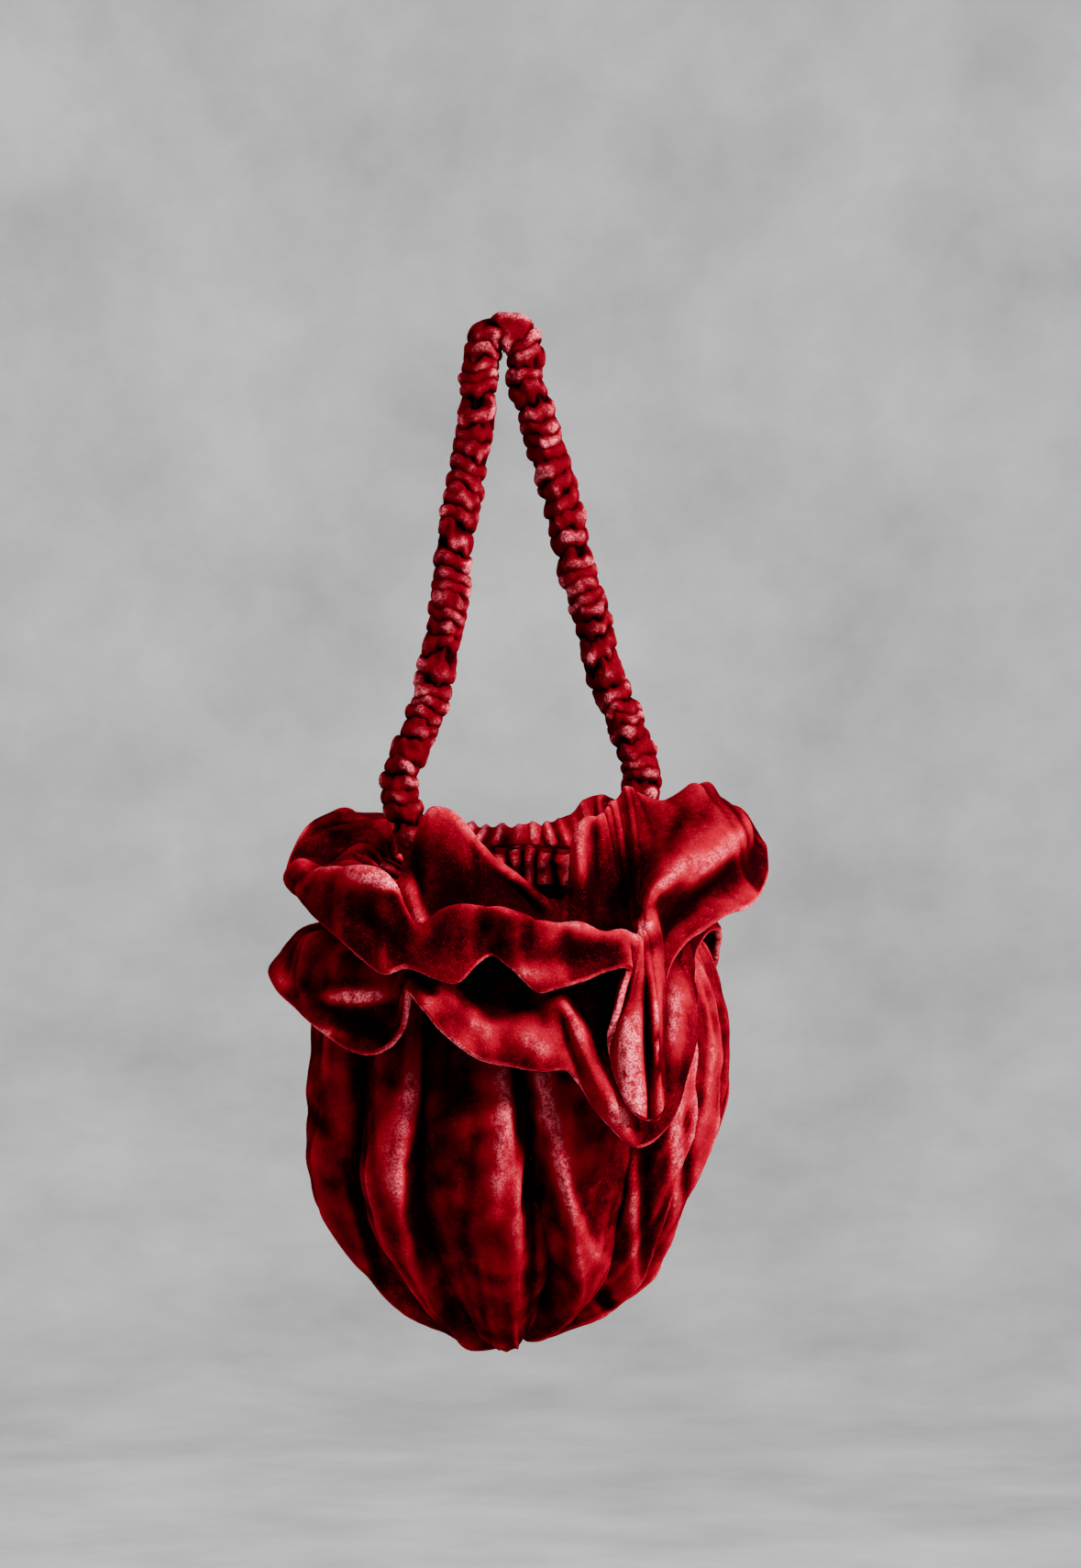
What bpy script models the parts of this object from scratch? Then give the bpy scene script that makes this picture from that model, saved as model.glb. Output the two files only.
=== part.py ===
"""A velvet drawstring pouch: a lobed bag gathered at neck and foot, a two-tier ruffle that flops
over its shoulders, and a ruched handle that it hangs by. Metres, +Z up, front towards -Y.
The origin is the underside of the handle's crown, where a hook or a finger holds it."""

import math

import bpy
import numpy as np

MM = 0.001
GAP = 0.3 * MM

# Where the bag hangs below the crown of the handle
BAG_X = 5 * MM
NECK_DROP = 246 * MM

# The bag's round shape
GIRTH_X = 104 * MM
GIRTH_Y = 83 * MM
BAG_DEPTH = 229 * MM
BAG_WALL = 2.4 * MM
NECK_X = 66 * MM
NECK_Y = 46 * MM
NECK_HEIGHT = 16 * MM
NECK_TILT = 0.28
NECK_LEVEL = -12 * MM
LOBE_DEPTH = 20 * MM
LOBE_ROUNDNESS = 0.75
LOBE_CLIMB = (0, 0.25, 0.6, 1)
LOBE_FALL = 0.45

# Drawn edge: elastic and the gathered casing inside the neck
ELASTIC_THICK = 1.6 * MM
ELASTIC_HEIGHT = 7 * MM
CASING_THICK = 1.8 * MM
GATHER_PAIRS = 11
GATHER_DEPTH = 1.6 * MM
NECK_PLEAT = 0.1 * LOBE_DEPTH
ELASTIC_CLEARANCE = BAG_WALL + NECK_PLEAT + GAP
CASING_CLEARANCE = ELASTIC_CLEARANCE + ELASTIC_THICK + GAP

# Ruffles
RUFFLE_THICK = 3.0 * MM
UPPER_COLUMNS = 80
UPPER_ROWS = 8
LOWER_COLUMNS = 68
LOWER_ROWS = 6

# Handle
SLEEVE_RADIUS = 8.3 * MM
RUCHE_DEPTH = 2.1 * MM
RUCHE_PITCH = 9.8 * MM
RUCHE_LEANS = (2.4, 1.7)
CORE_RADIUS = 2.6 * MM
SLEEVE_SIDES = 7

VELVET = (0.33, 0.006, 0.022, 1.0)
SHADED_VELVET = (0.20, 0.003, 0.012, 1.0)
ELASTIC_COLOUR = (0.12, 0.01, 0.015, 1.0)

# Folds of the bag: the angle of each valley at the girth and at the foot (degrees from the
# front, right positive), how deep it is as a share of the lobe depth, and how far across the
# next lobe its crest stands
VALLEYS = [
    (-92, -98, 0.48, 0.62),
    (-49, -64, 0.69, 0.78),
    (-27.5, -34, 0.59, 0.8),
    (2.5, 25, 1, 0.27),
    (37, 58, 0.72, 0.76),
    (56, 82, 0.59, 0.74),
    (74, 104, 0.55, 0.6),
    (100, 126, 0.62, 0.4),
    (131, 148, 0.62, 0.6),
    (157, 167, 0.55, 0.55),
    (183, 189, 0.69, 0.4),
    (210, 212, 0.55, 0.6),
    (238, 236, 0.62, 0.45),
]

# The bag's side line below the neck, as shares of its depth and of its girth: how far down, and
# how far out to the left, to the right and to the front. It sags to the left.
BAG_SIDES = [
    (0.131, 0.76, 0.80, 0.58),
    (0.197, 0.88, 0.905, 0.68),
    (0.35, 0.975, 0.985, 0.88),
    (0.515, 1.0, 0.97, 1.0),
    (0.655, 1.0, 0.835, 0.95),
    (0.777, 0.875, 0.73, 0.805),
    (0.873, 0.68, 0.615, 0.615),
    (0.939, 0.54, 0.45, 0.435),
    (0.986, 0.29, 0.20, 0.24),
    (1.0, 0.13, 0.07, 0.11),
]

# Where, on the way from neck to foot, the folds deepen, the neck's tilt runs out and the
# valleys turn from their angles at the girth to those at the foot
FOLD_STATIONS = [0, 0.1, 0.25, 0.5, 0.72, 0.86, 1.0]
FOLD_SHARES = [0.1, 0.1, 0.5, 1, 1, 0.1, 0]
TILT_STATIONS = [0, 0.1, 0.35, 1]
TILT_SHARES = [1, 1, 0, 0]
TURN_STATIONS = [0, 0.35, 0.85, 1]
TURN_SHARES = [0, 0, 1, 1]

# Guide lines of the two ruffles, in millimetres from the place the bag hangs at. Each point is
# (angle on the neck, x, y, z), so that all lines run together round the neck. The upper ruffle
# rises from its seam, dips into a channel, turns over a lip and tucks in above its hem.
UPPER_RISE = [
    (-94, -76, 8, 8), (-80, -80, -14, 2), (-62, -69, -36, -6), (-50, -57, -46, -10),
    (-44, -51, -48, 4), (-38, -45, -49, 20), (-31, -40, -51, 28), (-24, -31, -52, 26),
    (-18, -23, -54, 16), (-11, -14, -56, 4), (-4, -5, -58, -2), (3, 4, -60, -9),
    (10, 13, -61, -17), (16, 19, -58, -24), (21, 24, -50, -14), (26, 27, -44, 6),
    (32, 31, -38, 21), (40, 39, -34, 23), (48, 46, -29, 30), (56, 53, -24, 38),
    (64, 61, -19, 32), (72, 70, -14, 29), (80, 80, -7, 36), (90, 88, 4, 37),
    (100, 80, 18, 31), (112, 64, 29, 26), (126, 48, 40, 28), (140, 36, 47, 30),
    (152, 26, 50, 22), (166, 13, 53, 20), (180, 1, 54, 19), (200, -18, 52, 18),
    (222, -38, 45, 20), (244, -60, 31, 20),
]
UPPER_CHANNEL = [
    (-94, -88, 6, 4), (-80, -93, -18, -4), (-66, -82, -40, -11), (-54, -66, -56, -18),
    (-46, -55, -62, -27), (-38, -46, -67, -32), (-28, -34, -71, -37), (-16, -18, -74, -39),
    (-4, -4, -76, -40), (8, 10, -77, -42), (18, 23, -74, -44), (28, 34, -68, -42),
    (38, 45, -62, -36), (47, 54, -58, -26), (55, 60, -56, -8), (63, 69, -52, 10),
    (72, 80, -45, 23), (82, 94, -28, 31), (94, 98, 2, 33), (108, 80, 28, 28),
    (124, 58, 46, 29), (140, 42, 58, 29), (152, 28, 63, 18), (166, 15, 66, 17),
    (180, 1, 69, 12), (200, -22, 66, 13), (222, -47, 54, 21), (244, -72, 32, 22),
]
UPPER_LIP = [
    (-94, -98, 3, 4), (-82, -103, -22, 1), (-72, -95, -44, -2), (-62, -81, -60, -1),
    (-54, -67, -71, -1), (-48, -57, -76, -7), (-43, -51, -79, -18), (-37, -45, -83, -25),
    (-30, -36, -87, -19), (-22, -26, -90, -17), (-12, -10, -92, -18), (-2, 4, -94, -23),
    (8, 14, -94, -26), (20, 28, -93, -26), (30, 41, -90, -30), (36, 50, -84, -29),
    (43, 58, -84, -32), (50, 58, -82, -28), (55, 61, -79, -15), (61, 68, -76, -7),
    (68, 79, -70, 1), (76, 93, -58, 9), (84, 105, -38, 16), (92, 109, -12, 22),
    (102, 102, 10, 29), (112, 84, 30, 30), (126, 63, 52, 28), (140, 46, 68, 24),
    (152, 30, 74, 10), (166, 16, 78, 12), (180, 1, 82, 6), (200, -26, 78, 8),
    (222, -56, 62, 20), (244, -82, 32, 23),
]
UPPER_TUCK = [
    (-94, -106, 1, 2), (-82, -108, -22, -5), (-70, -98, -48, -12), (-58, -78, -68, -19),
    (-49, -64, -80, -25), (-42, -54, -87, -33), (-34, -42, -93, -37), (-25, -29, -96, -34),
    (-14, -13, -94, -29), (-4, 0, -97, -34), (6, 13, -102, -41), (18, 27, -100, -41),
    (30, 43, -96, -39), (36, 51, -91, -37), (39, 51, -92, -46), (42, 50, -94, -60),
    (45, 53, -99, -74),
    (50, 62, -92, -66), (55, 65, -78, -34), (61, 69, -64, -20), (69, 84, -54, -12),
    (78, 100, -40, -5), (87, 111, -16, 4), (97, 110, 6, 18), (108, 98, 25, 28),
    (120, 76, 46, 28), (134, 58, 68, 14), (148, 42, 82, -2), (164, 18, 92, -6),
    (180, 1, 92, -18), (200, -28, 88, -12), (216, -52, 74, -2), (232, -76, 52, 20),
    (248, -90, 28, 23),
]
UPPER_HEM = [
    (-94, -109, 0, 2), (-84, -109, -20, -6), (-76, -102, -40, -14), (-68, -93, -56, -23),
    (-60, -83, -70, -31), (-52, -71, -82, -41), (-45, -61, -91, -47), (-37, -50, -94, -44),
    (-30, -36, -99, -49), (-24, -27, -101, -50), (-18, -18, -98, -42), (-12, -11, -93, -38),
    (-5, -2, -99, -44), (2, 9, -106, -54), (10, 19, -106, -53), (20, 30, -104, -50),
    (30, 43, -99, -45), (36, 52, -97, -45), (39, 49, -98, -58), (42, 43, -95, -82),
    (45, 50, -97, -104), (48, 61, -104, -111), (51, 69, -96, -108), (53, 67, -86, -84),
    (56, 69, -80, -52), (60, 76, -72, -36), (67, 88, -66, -27), (73, 100, -58, -20),
    (78, 109, -46, -17), (84, 117, -26, -8), (90, 119, -8, 2), (97, 116, 10, 15),
    (105, 106, 26, 28), (116, 90, 42, 27), (128, 72, 66, 14), (140, 56, 84, -4),
    (152, 38, 92, -26), (164, 20, 104, -24), (178, 2, 100, -42), (194, -22, 104, -30),
    (208, -44, 88, -32), (222, -68, 76, 0), (234, -82, 50, 24), (248, -94, 30, 22),
    (258, -103, 14, 16),
]

# The lower one drops beside the bag, then flares over a shoulder and a ridge to its hem
LOWER_DROP = [
    (-94, -84, -2, -28), (-74, -78, -28, -32), (-58, -64, -44, -36), (-42, -46, -56, -42),
    (-24, -26, -62, -46), (0, 0, -65, -48), (24, 27, -63, -48), (44, 50, -54, -44),
    (62, 66, -38, -34), (72, 71, -29, -28), (80, 74, -21, -24), (90, 78, -8, -20),
    (100, 78, 10, -18), (120, 70, 36, -16),
    (146, 42, 56, -12), (176, 2, 62, -10), (206, -40, 54, -12), (234, -66, 36, -20),
]
LOWER_SHOULDER = [
    (-94, -102, -4, -32), (-80, -98, -28, -34), (-68, -86, -48, -42), (-58, -74, -60, -48),
    (-50, -62, -70, -50), (-42, -51, -77, -50), (-32, -38, -80, -52), (-20, -23, -82, -58),
    (0, 1, -82, -62), (16, 18, -84, -58), (28, 31, -80, -66), (36, 42, -72, -70),
    (46, 56, -66, -60), (60, 72, -54, -46), (68, 77, -46, -37), (76, 79, -36, -31),
    (84, 83, -24, -26), (92, 88, -6, -23), (100, 87, 12, -22), (120, 82, 44, -26), (146, 47, 72, -28),
    (176, 2, 80, -28), (206, -46, 72, -28), (234, -84, 46, -28),
]
LOWER_RIDGE = [
    (-95, -112, -2, -38), (-84, -110, -22, -46), (-74, -98, -48, -54), (-66, -86, -68, -58),
    (-58, -73, -84, -60), (-51, -59, -90, -61), (-44, -51, -84, -54), (-38, -48, -88, -53),
    (-30, -36, -92, -62), (-20, -20, -94, -72), (-8, -4, -93, -75), (6, 12, -95, -72),
    (15, 22, -98, -68), (23, 29, -100, -78), (31, 39, -98, -96), (38, 48, -90, -104),
    (45, 58, -76, -94), (51, 66, -76, -84), (57, 74, -74, -70), (63, 79, -63, -57),
    (70, 79, -54, -45), (77, 80, -44, -36), (84, 84, -32, -30), (92, 92, -14, -26),
    (100, 92, 10, -27),
    (116, 92, 46, -40), (134, 66, 70, -48), (150, 44, 86, -46), (178, 2, 94, -48),
    (206, -46, 88, -48), (226, -76, 66, -50), (244, -98, 38, -42),
]
LOWER_HEM = [
    (-96, -116, 0, -44), (-86, -114, -16, -56), (-78, -104, -40, -66), (-70, -92, -58, -75),
    (-62, -78, -72, -83), (-55, -65, -78, -84), (-49, -54, -84, -74), (-44, -51, -86, -60),
    (-39, -50, -90, -55), (-34, -43, -96, -64), (-26, -30, -100, -76), (-18, -16, -100, -86),
    (-8, -3, -98, -89), (4, 11, -100, -91), (14, 23, -98, -91), (22, 29, -96, -98),
    (32, 42, -94, -116), (42, 56, -90, -127), (52, 70, -84, -118), (60, 77, -76, -101),
    (66, 83, -67, -79), (72, 84, -59, -60), (78, 83, -50, -45), (84, 86, -39, -36),
    (91, 92, -22, -30), (100, 97, 8, -32), (110, 96, 34, -48), (120, 90, 58, -56),
    (134, 68, 76, -68), (148, 50, 96, -60), (162, 26, 94, -76), (178, 2, 104, -64),
    (194, -24, 94, -76), (210, -52, 94, -60), (226, -76, 72, -70), (242, -98, 46, -56),
    (252, -108, 24, -52),
]

# Middle line of the handle, in millimetres from the crown's underside, hand-chosen so that the
# left strand sways and the right one hangs straighter
HANDLE_ROUTE = [
    (-52, 0, -210),
    (-47, 1, -192),
    (-42, 1, -179),
    (-37, 1, -168),
    (-33, 1, -146),
    (-28, 1, -120),
    (-26, 0, -96),
    (-21, 0, -66),
    (-17, 0, -44),
    (-14, 0, -22),
    (-13, 0, -2),
    (-9, 0, 9),
    (-2, 0, 11),
    (5, 0, 9),
    (9, 0, 1),
    (9, 0, -13),
    (15, 0, -31),
    (21, 0, -51),
    (27, 0, -72),
    (33, 0, -101),
    (40, 0, -122),
    (46, 1, -150),
    (54, 1, -169),
    (61, 1, -188),
    (65, 0, -209),
]


def clear_scene():
    for item in list(bpy.data.objects):
        bpy.data.objects.remove(item, do_unlink=True)


def new_collection(name):
    group = bpy.data.collections.new(name)
    bpy.context.scene.collection.children.link(group)
    return group


def velvet_material(name, colour, roughness):
    material = bpy.data.materials.new(name)
    material.use_nodes = True
    shader = material.node_tree.nodes["Principled BSDF"]
    shader.inputs["Base Color"].default_value = colour
    shader.inputs["Roughness"].default_value = roughness
    shader.inputs["Metallic"].default_value = 0.0
    return material


def mesh_piece(name, points, faces, material):
    mesh = bpy.data.meshes.new(name)
    mesh.from_pydata([tuple(point) for point in points], [], faces)
    mesh.materials.append(material)
    mesh.shade_smooth()
    piece = bpy.data.objects.new(name, mesh)
    POUCH.objects.link(piece)
    return piece


def wrapped_grid(rows, columns):
    """Quads of a grid whose columns close into a ring; row after row of points."""
    faces = []
    for row in range(rows - 1):
        for column in range(columns):
            after = (column + 1) % columns
            low = row * columns
            high = low + columns
            faces.append((low + column, low + after, high + after, high + column))
    return faces


def torus_grid(rows, columns):
    """The same, with the rows closed too."""
    faces = []
    for row in range(rows):
        for column in range(columns):
            after = (column + 1) % columns
            low = row * columns
            high = ((row + 1) % rows) * columns
            faces.append((low + column, low + after, high + after, high + column))
    return faces


def closed_curve(points, angles):
    """Smooth closed line through (angle, x, y, z) points, read at the given angles."""
    table = np.array(points, dtype=float)
    knots = table[:, 0]
    values = table[:, 1:]
    before = np.concatenate([knots[-2:] - 360, knots, knots[:2] + 360])
    wrapped = np.concatenate([values[-2:], values, values[:2]])
    slopes = np.zeros_like(wrapped)
    span = (before[2:] - before[:-2])[:, None]
    slopes[1:-1] = (wrapped[2:] - wrapped[:-2]) / span
    at = (np.asarray(angles) - knots[0]) % 360 + knots[0]
    place = np.clip(np.searchsorted(before, at, side="right") - 1, 0, len(before) - 2)
    width = (before[place + 1] - before[place])[:, None]
    t = (at - before[place])[:, None] / width
    h00 = 2 * t**3 - 3 * t**2 + 1
    h10 = t**3 - 2 * t**2 + t
    h01 = 3 * t**2 - 2 * t**3
    h11 = t**3 - t**2
    start = h00 * wrapped[place] + h10 * width * slopes[place]
    return start + h01 * wrapped[place + 1] + h11 * width * slopes[place + 1]


def even_angles(guide, count):
    """Angles that divide a guide line into runs of about the same length."""
    fine = np.linspace(guide[0][0], guide[0][0] + 360, 1441)
    line = closed_curve(guide, fine)
    step = np.linalg.norm(np.diff(line, axis=0), axis=1) + 0.6
    travelled = np.concatenate([[0], np.cumsum(step)])
    wanted = np.linspace(0, travelled[-1], count, endpoint=False)
    return np.interp(wanted, travelled, fine)


def ring(angles, radius_x, radius_y, height):
    """Points of the tilted neck ellipse at a height above the neck's middle."""
    turn = np.radians(angles)
    x = radius_x * np.sin(turn)
    y = -radius_y * np.cos(turn)
    return np.stack([x, y, height + NECK_LEVEL + NECK_TILT * y], axis=1)


def hung(points):
    """Moves points from the middle of the neck to where the bag hangs."""
    return points + np.array([BAG_X, 0, -NECK_DROP])


def bag_profile():
    """Height and reach to left, right and front of the bag's side, from neck to foot."""
    rows = [(NECK_LEVEL + side * NECK_HEIGHT, NECK_X, NECK_X, NECK_Y) for side in (0.5, -0.5)]
    for depth, left, right, front in BAG_SIDES:
        rows.append((-depth * BAG_DEPTH, left * GIRTH_X, right * GIRTH_X, front * GIRTH_Y))
    return np.array(rows)


def lobe_edges(foot_share):
    """Angle of each valley, on the way from the girth to the foot."""
    return np.array([girth + (foot - girth) * foot_share for girth, foot, _, _ in VALLEYS])


def valley_depth(turns, foot_share):
    """How far the cloth is drawn in at each angle: 0 on a crest, the valley's share in it."""
    edges = lobe_edges(foot_share)
    share = np.array([valley[2] for valley in VALLEYS])
    crest = np.array([valley[3] for valley in VALLEYS])
    knots = np.append(edges, edges[0] + 360)
    at = (turns - edges[0]) % 360 + edges[0]
    place = np.clip(np.searchsorted(knots, at, side="right") - 1, 0, len(edges) - 1)
    t = (at - knots[place]) / (knots[place + 1] - knots[place])
    climb = np.where(t < crest[place], t / crest[place], (1 - t) / (1 - crest[place]))
    bulge = np.sin(0.5 * math.pi * np.clip(climb, 0, 1)) ** LOBE_ROUNDNESS
    return (1 - bulge) * (share[place] * (1 - t) + share[(place + 1) % len(share)] * t)


def bag_columns(foot_share):
    """Five angles for each lobe: its valley, three up to its crest, and one down again."""
    edges = lobe_edges(foot_share)
    ends = np.append(edges[1:], edges[0] + 360)
    columns = []
    for index, start in enumerate(edges):
        crest = VALLEYS[index][3]
        stops = [up * crest for up in LOBE_CLIMB]
        stops.append(crest + LOBE_FALL * (1 - crest))
        for stop in stops:
            columns.append(start + (ends[index] - start) * stop)
    return np.array(columns)


def build_bag():
    """The lobed bag: one wall of velvet, open at the neck and drawn together at the foot."""
    profile = bag_profile()
    reach = 0.25 * (profile[:, 1] + profile[:, 2]) + 0.5 * profile[:, 3]
    run = np.stack([np.gradient(reach), np.gradient(profile[:, 0])], axis=1)
    normals = np.stack([-run[:, 1], run[:, 0]], axis=1)
    normals /= np.linalg.norm(normals, axis=1)[:, None]
    rings = []
    for row, (height, left, right, front) in enumerate(profile):
        share = row / (len(profile) - 1)
        foot_share = np.interp(share, TURN_STATIONS, TURN_SHARES)
        turns = bag_columns(foot_share)
        depth = LOBE_DEPTH * np.interp(share, FOLD_STATIONS, FOLD_SHARES)
        inward = valley_depth(turns, foot_share) * depth
        tilt = NECK_TILT * np.interp(share, TILT_STATIONS, TILT_SHARES)
        turn = np.radians(turns)
        side = np.where(np.sin(turn) > 0, right, left)
        x = (side - normals[row, 0] * inward) * np.sin(turn)
        y = -(front - normals[row, 0] * inward) * np.cos(turn)
        z = height - normals[row, 1] * inward + tilt * y
        rings.append(np.stack([x, y, z], axis=1))
    columns = len(rings[0])
    foot_centre = rings[-1].mean(axis=0)
    points = np.concatenate(rings + [foot_centre[None]])
    faces = wrapped_grid(len(rings), columns)
    last = (len(rings) - 1) * columns
    for column in range(columns):
        faces.append((last + column, last + (column + 1) % columns, len(points) - 1))
    faces = [tuple(reversed(face)) for face in faces]
    bag = mesh_piece("velvet_body", hung(points), faces, MATERIALS["body"])
    wall = bag.modifiers.new("wall", "SOLIDIFY")
    wall.thickness = BAG_WALL
    wall.offset = -1
    return bag


def band(name, columns, radius_x, radius_y, thick, height, material, pairs=0):
    """A flat band round the inside of the neck, gathered into small pleats if asked. The
    gathers come in pairs, so that one faces each end of the handle."""
    turns = np.linspace(0, 360, columns, endpoint=False)
    wave = np.zeros(columns)
    if pairs:
        wave = 0.5 * GATHER_DEPTH * (1 + np.cos(2 * pairs * np.radians(turns - 90)))
    rings = []
    for inset, level in ((0, -0.5), (0, 0.5), (1, 0.5), (1, -0.5)):
        away = inset * thick + wave
        rings.append(ring(turns, radius_x - away, radius_y - away, level * height))
    points = np.concatenate(rings)
    return mesh_piece(name, hung(points), torus_grid(4, columns), material)


def build_drawn_edge():
    """Elastic behind a gathered casing: together they draw the neck in."""
    inside = ELASTIC_CLEARANCE
    band("mouth_elastic", 48, NECK_X - inside, NECK_Y - inside, ELASTIC_THICK, ELASTIC_HEIGHT,
         MATERIALS["elastic"])
    inside = CASING_CLEARANCE
    band("mouth_casing", 8 * GATHER_PAIRS, NECK_X - inside, NECK_Y - inside, CASING_THICK,
         NECK_HEIGHT, MATERIALS["casing"], GATHER_PAIRS)


def ruffle_surface(angles, guides, neck, shares):
    """Lofts the ruffle from its seam on the neck through the guide lines to its hem."""
    lines = [neck] + [closed_curve(guide, angles) * MM for guide in guides]
    lines = np.array(lines)
    steps = np.linalg.norm(np.diff(lines, axis=0), axis=2).mean(axis=1)
    knots = np.concatenate([[0], np.cumsum(steps)]) / steps.sum()
    slopes = np.zeros_like(lines)
    for index in range(len(lines)):
        low = max(index - 1, 0)
        high = min(index + 1, len(lines) - 1)
        slopes[index] = (lines[high] - lines[low]) / (knots[high] - knots[low])
    rows = []
    for share in shares:
        place = min(np.searchsorted(knots, share, side="right") - 1, len(lines) - 2)
        width = knots[place + 1] - knots[place]
        t = (share - knots[place]) / width
        row = (2 * t**3 - 3 * t**2 + 1) * lines[place]
        row = row + (t**3 - 2 * t**2 + t) * width * slopes[place]
        row = row + (3 * t**2 - 2 * t**3) * lines[place + 1]
        row = row + (t**3 - t**2) * width * slopes[place + 1]
        rows.append(row)
    return np.array(rows)


def build_ruffle(name, guides, columns, rows, seam_x, seam_y, seam_height, material):
    angles = even_angles(guides[-1], columns)
    neck = ring(angles, seam_x, seam_y, seam_height)
    surface = ruffle_surface(angles, guides, neck, np.linspace(0, 1, rows + 1))
    points = surface.reshape(-1, 3)
    ruffle = mesh_piece(name, hung(points), wrapped_grid(rows + 1, columns), material)
    wall = ruffle.modifiers.new("folded velvet", "SOLIDIFY")
    wall.thickness = RUFFLE_THICK
    wall.offset = 0
    return ruffle


def build_ruffles():
    half = 0.5 * RUFFLE_THICK
    top_height = 0.5 * NECK_HEIGHT + GAP + half
    upper = [UPPER_RISE, UPPER_CHANNEL, UPPER_LIP, UPPER_TUCK, UPPER_HEM]
    build_ruffle("upper_ruffle", upper, UPPER_COLUMNS, UPPER_ROWS, NECK_X, NECK_Y, top_height,
                 MATERIALS["upper"])
    outside = GAP + half
    lower = [LOWER_DROP, LOWER_SHOULDER, LOWER_RIDGE, LOWER_HEM]
    build_ruffle("lower_ruffle", lower, LOWER_COLUMNS, LOWER_ROWS,
                 NECK_X + outside, NECK_Y + outside, 0, MATERIALS["lower"])


def smooth_route(points, count):
    """Evenly spaced points on a smooth open line through hand-chosen ones."""
    table = np.array(points, dtype=float) * MM
    padded = np.concatenate([[2 * table[0] - table[1]], table, [2 * table[-1] - table[-2]]])
    fine = []
    for index in range(1, len(padded) - 2):
        a, b, c, d = padded[index - 1 : index + 3]
        for t in np.linspace(0, 1, 16, endpoint=False):
            curve = 2 * b + (c - a) * t + (2 * a - 5 * b + 4 * c - d) * t * t
            fine.append(0.5 * (curve + (3 * b - a - 3 * c + d) * t**3))
    fine.append(table[-1])
    fine = np.array(fine)
    step = np.linalg.norm(np.diff(fine, axis=0), axis=1)
    travelled = np.concatenate([[0], np.cumsum(step)])
    wanted = np.linspace(0, travelled[-1], count)
    route = [np.interp(wanted, travelled, fine[:, axis]) for axis in range(3)]
    return np.stack(route, axis=1), travelled[-1]


def handle_line(count):
    """The handle's middle line, with both ends sewn against the casing inside the mouth."""
    edge = CASING_CLEARANCE + CASING_THICK + GATHER_DEPTH
    crest = SLEEVE_RADIUS + RUCHE_DEPTH - GAP
    seat = (NECK_X - edge - crest) / MM
    level = NECK_LEVEL - NECK_DROP
    low = (level - 0.4 * NECK_HEIGHT) / MM
    high = (level + 0.8 * NECK_HEIGHT) / MM
    middle = BAG_X / MM
    left = [(middle - seat, 0, low), (middle - seat, 0, high)]
    right = [(middle + seat, 0, high), (middle + seat, 0, low)]
    return smooth_route(left + HANDLE_ROUTE + right, count)


def swept_wall(name, count, sides, outer, inner, material):
    """A tube along the handle: outer(index) and inner give its radii, open at both ends."""
    route, _ = handle_line(count)
    along = np.gradient(route, axis=0)
    along /= np.linalg.norm(along, axis=1)[:, None]
    across = np.cross(along, [0, 1, 0])
    across /= np.linalg.norm(across, axis=1)[:, None]
    depth = np.cross(along, across)
    turn = np.linspace(0, 2 * math.pi, sides, endpoint=False)
    rings = []
    for index in range(count):
        spokes = np.outer(np.cos(turn), across[index]) + np.outer(np.sin(turn), depth[index])
        rings.append(route[index] + spokes * outer(index, turn)[:, None])
    for index in reversed(range(0, count, 2)):
        spokes = np.outer(np.cos(turn), across[index]) + np.outer(np.sin(turn), depth[index])
        rings.append(route[index] + spokes * inner)
    points = np.concatenate(rings)
    return mesh_piece(name, points, torus_grid(len(rings), sides), material)


def build_handle():
    """A velvet sleeve pushed up on a round elastic, so that it stands in small tilted rings."""
    length = handle_line(2)[1]
    ruches = int(length / RUCHE_PITCH)
    count = 2 * ruches + 1

    def sleeve_radius(index, turn):
        crest = index % 2
        sideways = math.sin(RUCHE_LEANS[0] * index) * np.cos(turn)
        lean = sideways + math.cos(RUCHE_LEANS[1] * index) * np.sin(turn)
        return SLEEVE_RADIUS + RUCHE_DEPTH * (crest - 0.5) + 0.5 * RUCHE_DEPTH * lean * crest

    bore = CORE_RADIUS + GAP
    swept_wall("handle_sleeve", count, SLEEVE_SIDES, sleeve_radius, bore, MATERIALS["sleeve"])
    route, _ = handle_line(ruches + 1)
    curve = bpy.data.curves.new("handle_elastic", "CURVE")
    curve.dimensions = "3D"
    curve.bevel_depth = CORE_RADIUS - GAP
    curve.bevel_resolution = 0
    curve.use_fill_caps = True
    line = curve.splines.new("POLY")
    line.points.add(len(route) - 1)
    for point, place in zip(line.points, route):
        point.co = (*place, 1)
    curve.materials.append(MATERIALS["elastic"])
    elastic = bpy.data.objects.new("handle_elastic", curve)
    POUCH.objects.link(elastic)


clear_scene()
POUCH = new_collection("kinchaku_pouch")
MATERIALS = {
    "body": velvet_material("body_velvet", VELVET, 0.6),
    "upper": velvet_material("upper_ruffle_velvet", VELVET, 0.55),
    "lower": velvet_material("lower_ruffle_velvet", VELVET, 0.55),
    "casing": velvet_material("casing_velvet", SHADED_VELVET, 0.7),
    "sleeve": velvet_material("sleeve_velvet", VELVET, 0.6),
    "elastic": velvet_material("elastic_braid", ELASTIC_COLOUR, 0.8),
}
build_bag()
build_drawn_edge()
build_ruffles()
build_handle()
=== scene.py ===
import math

import bpy
import numpy as np
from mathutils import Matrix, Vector, noise


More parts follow.
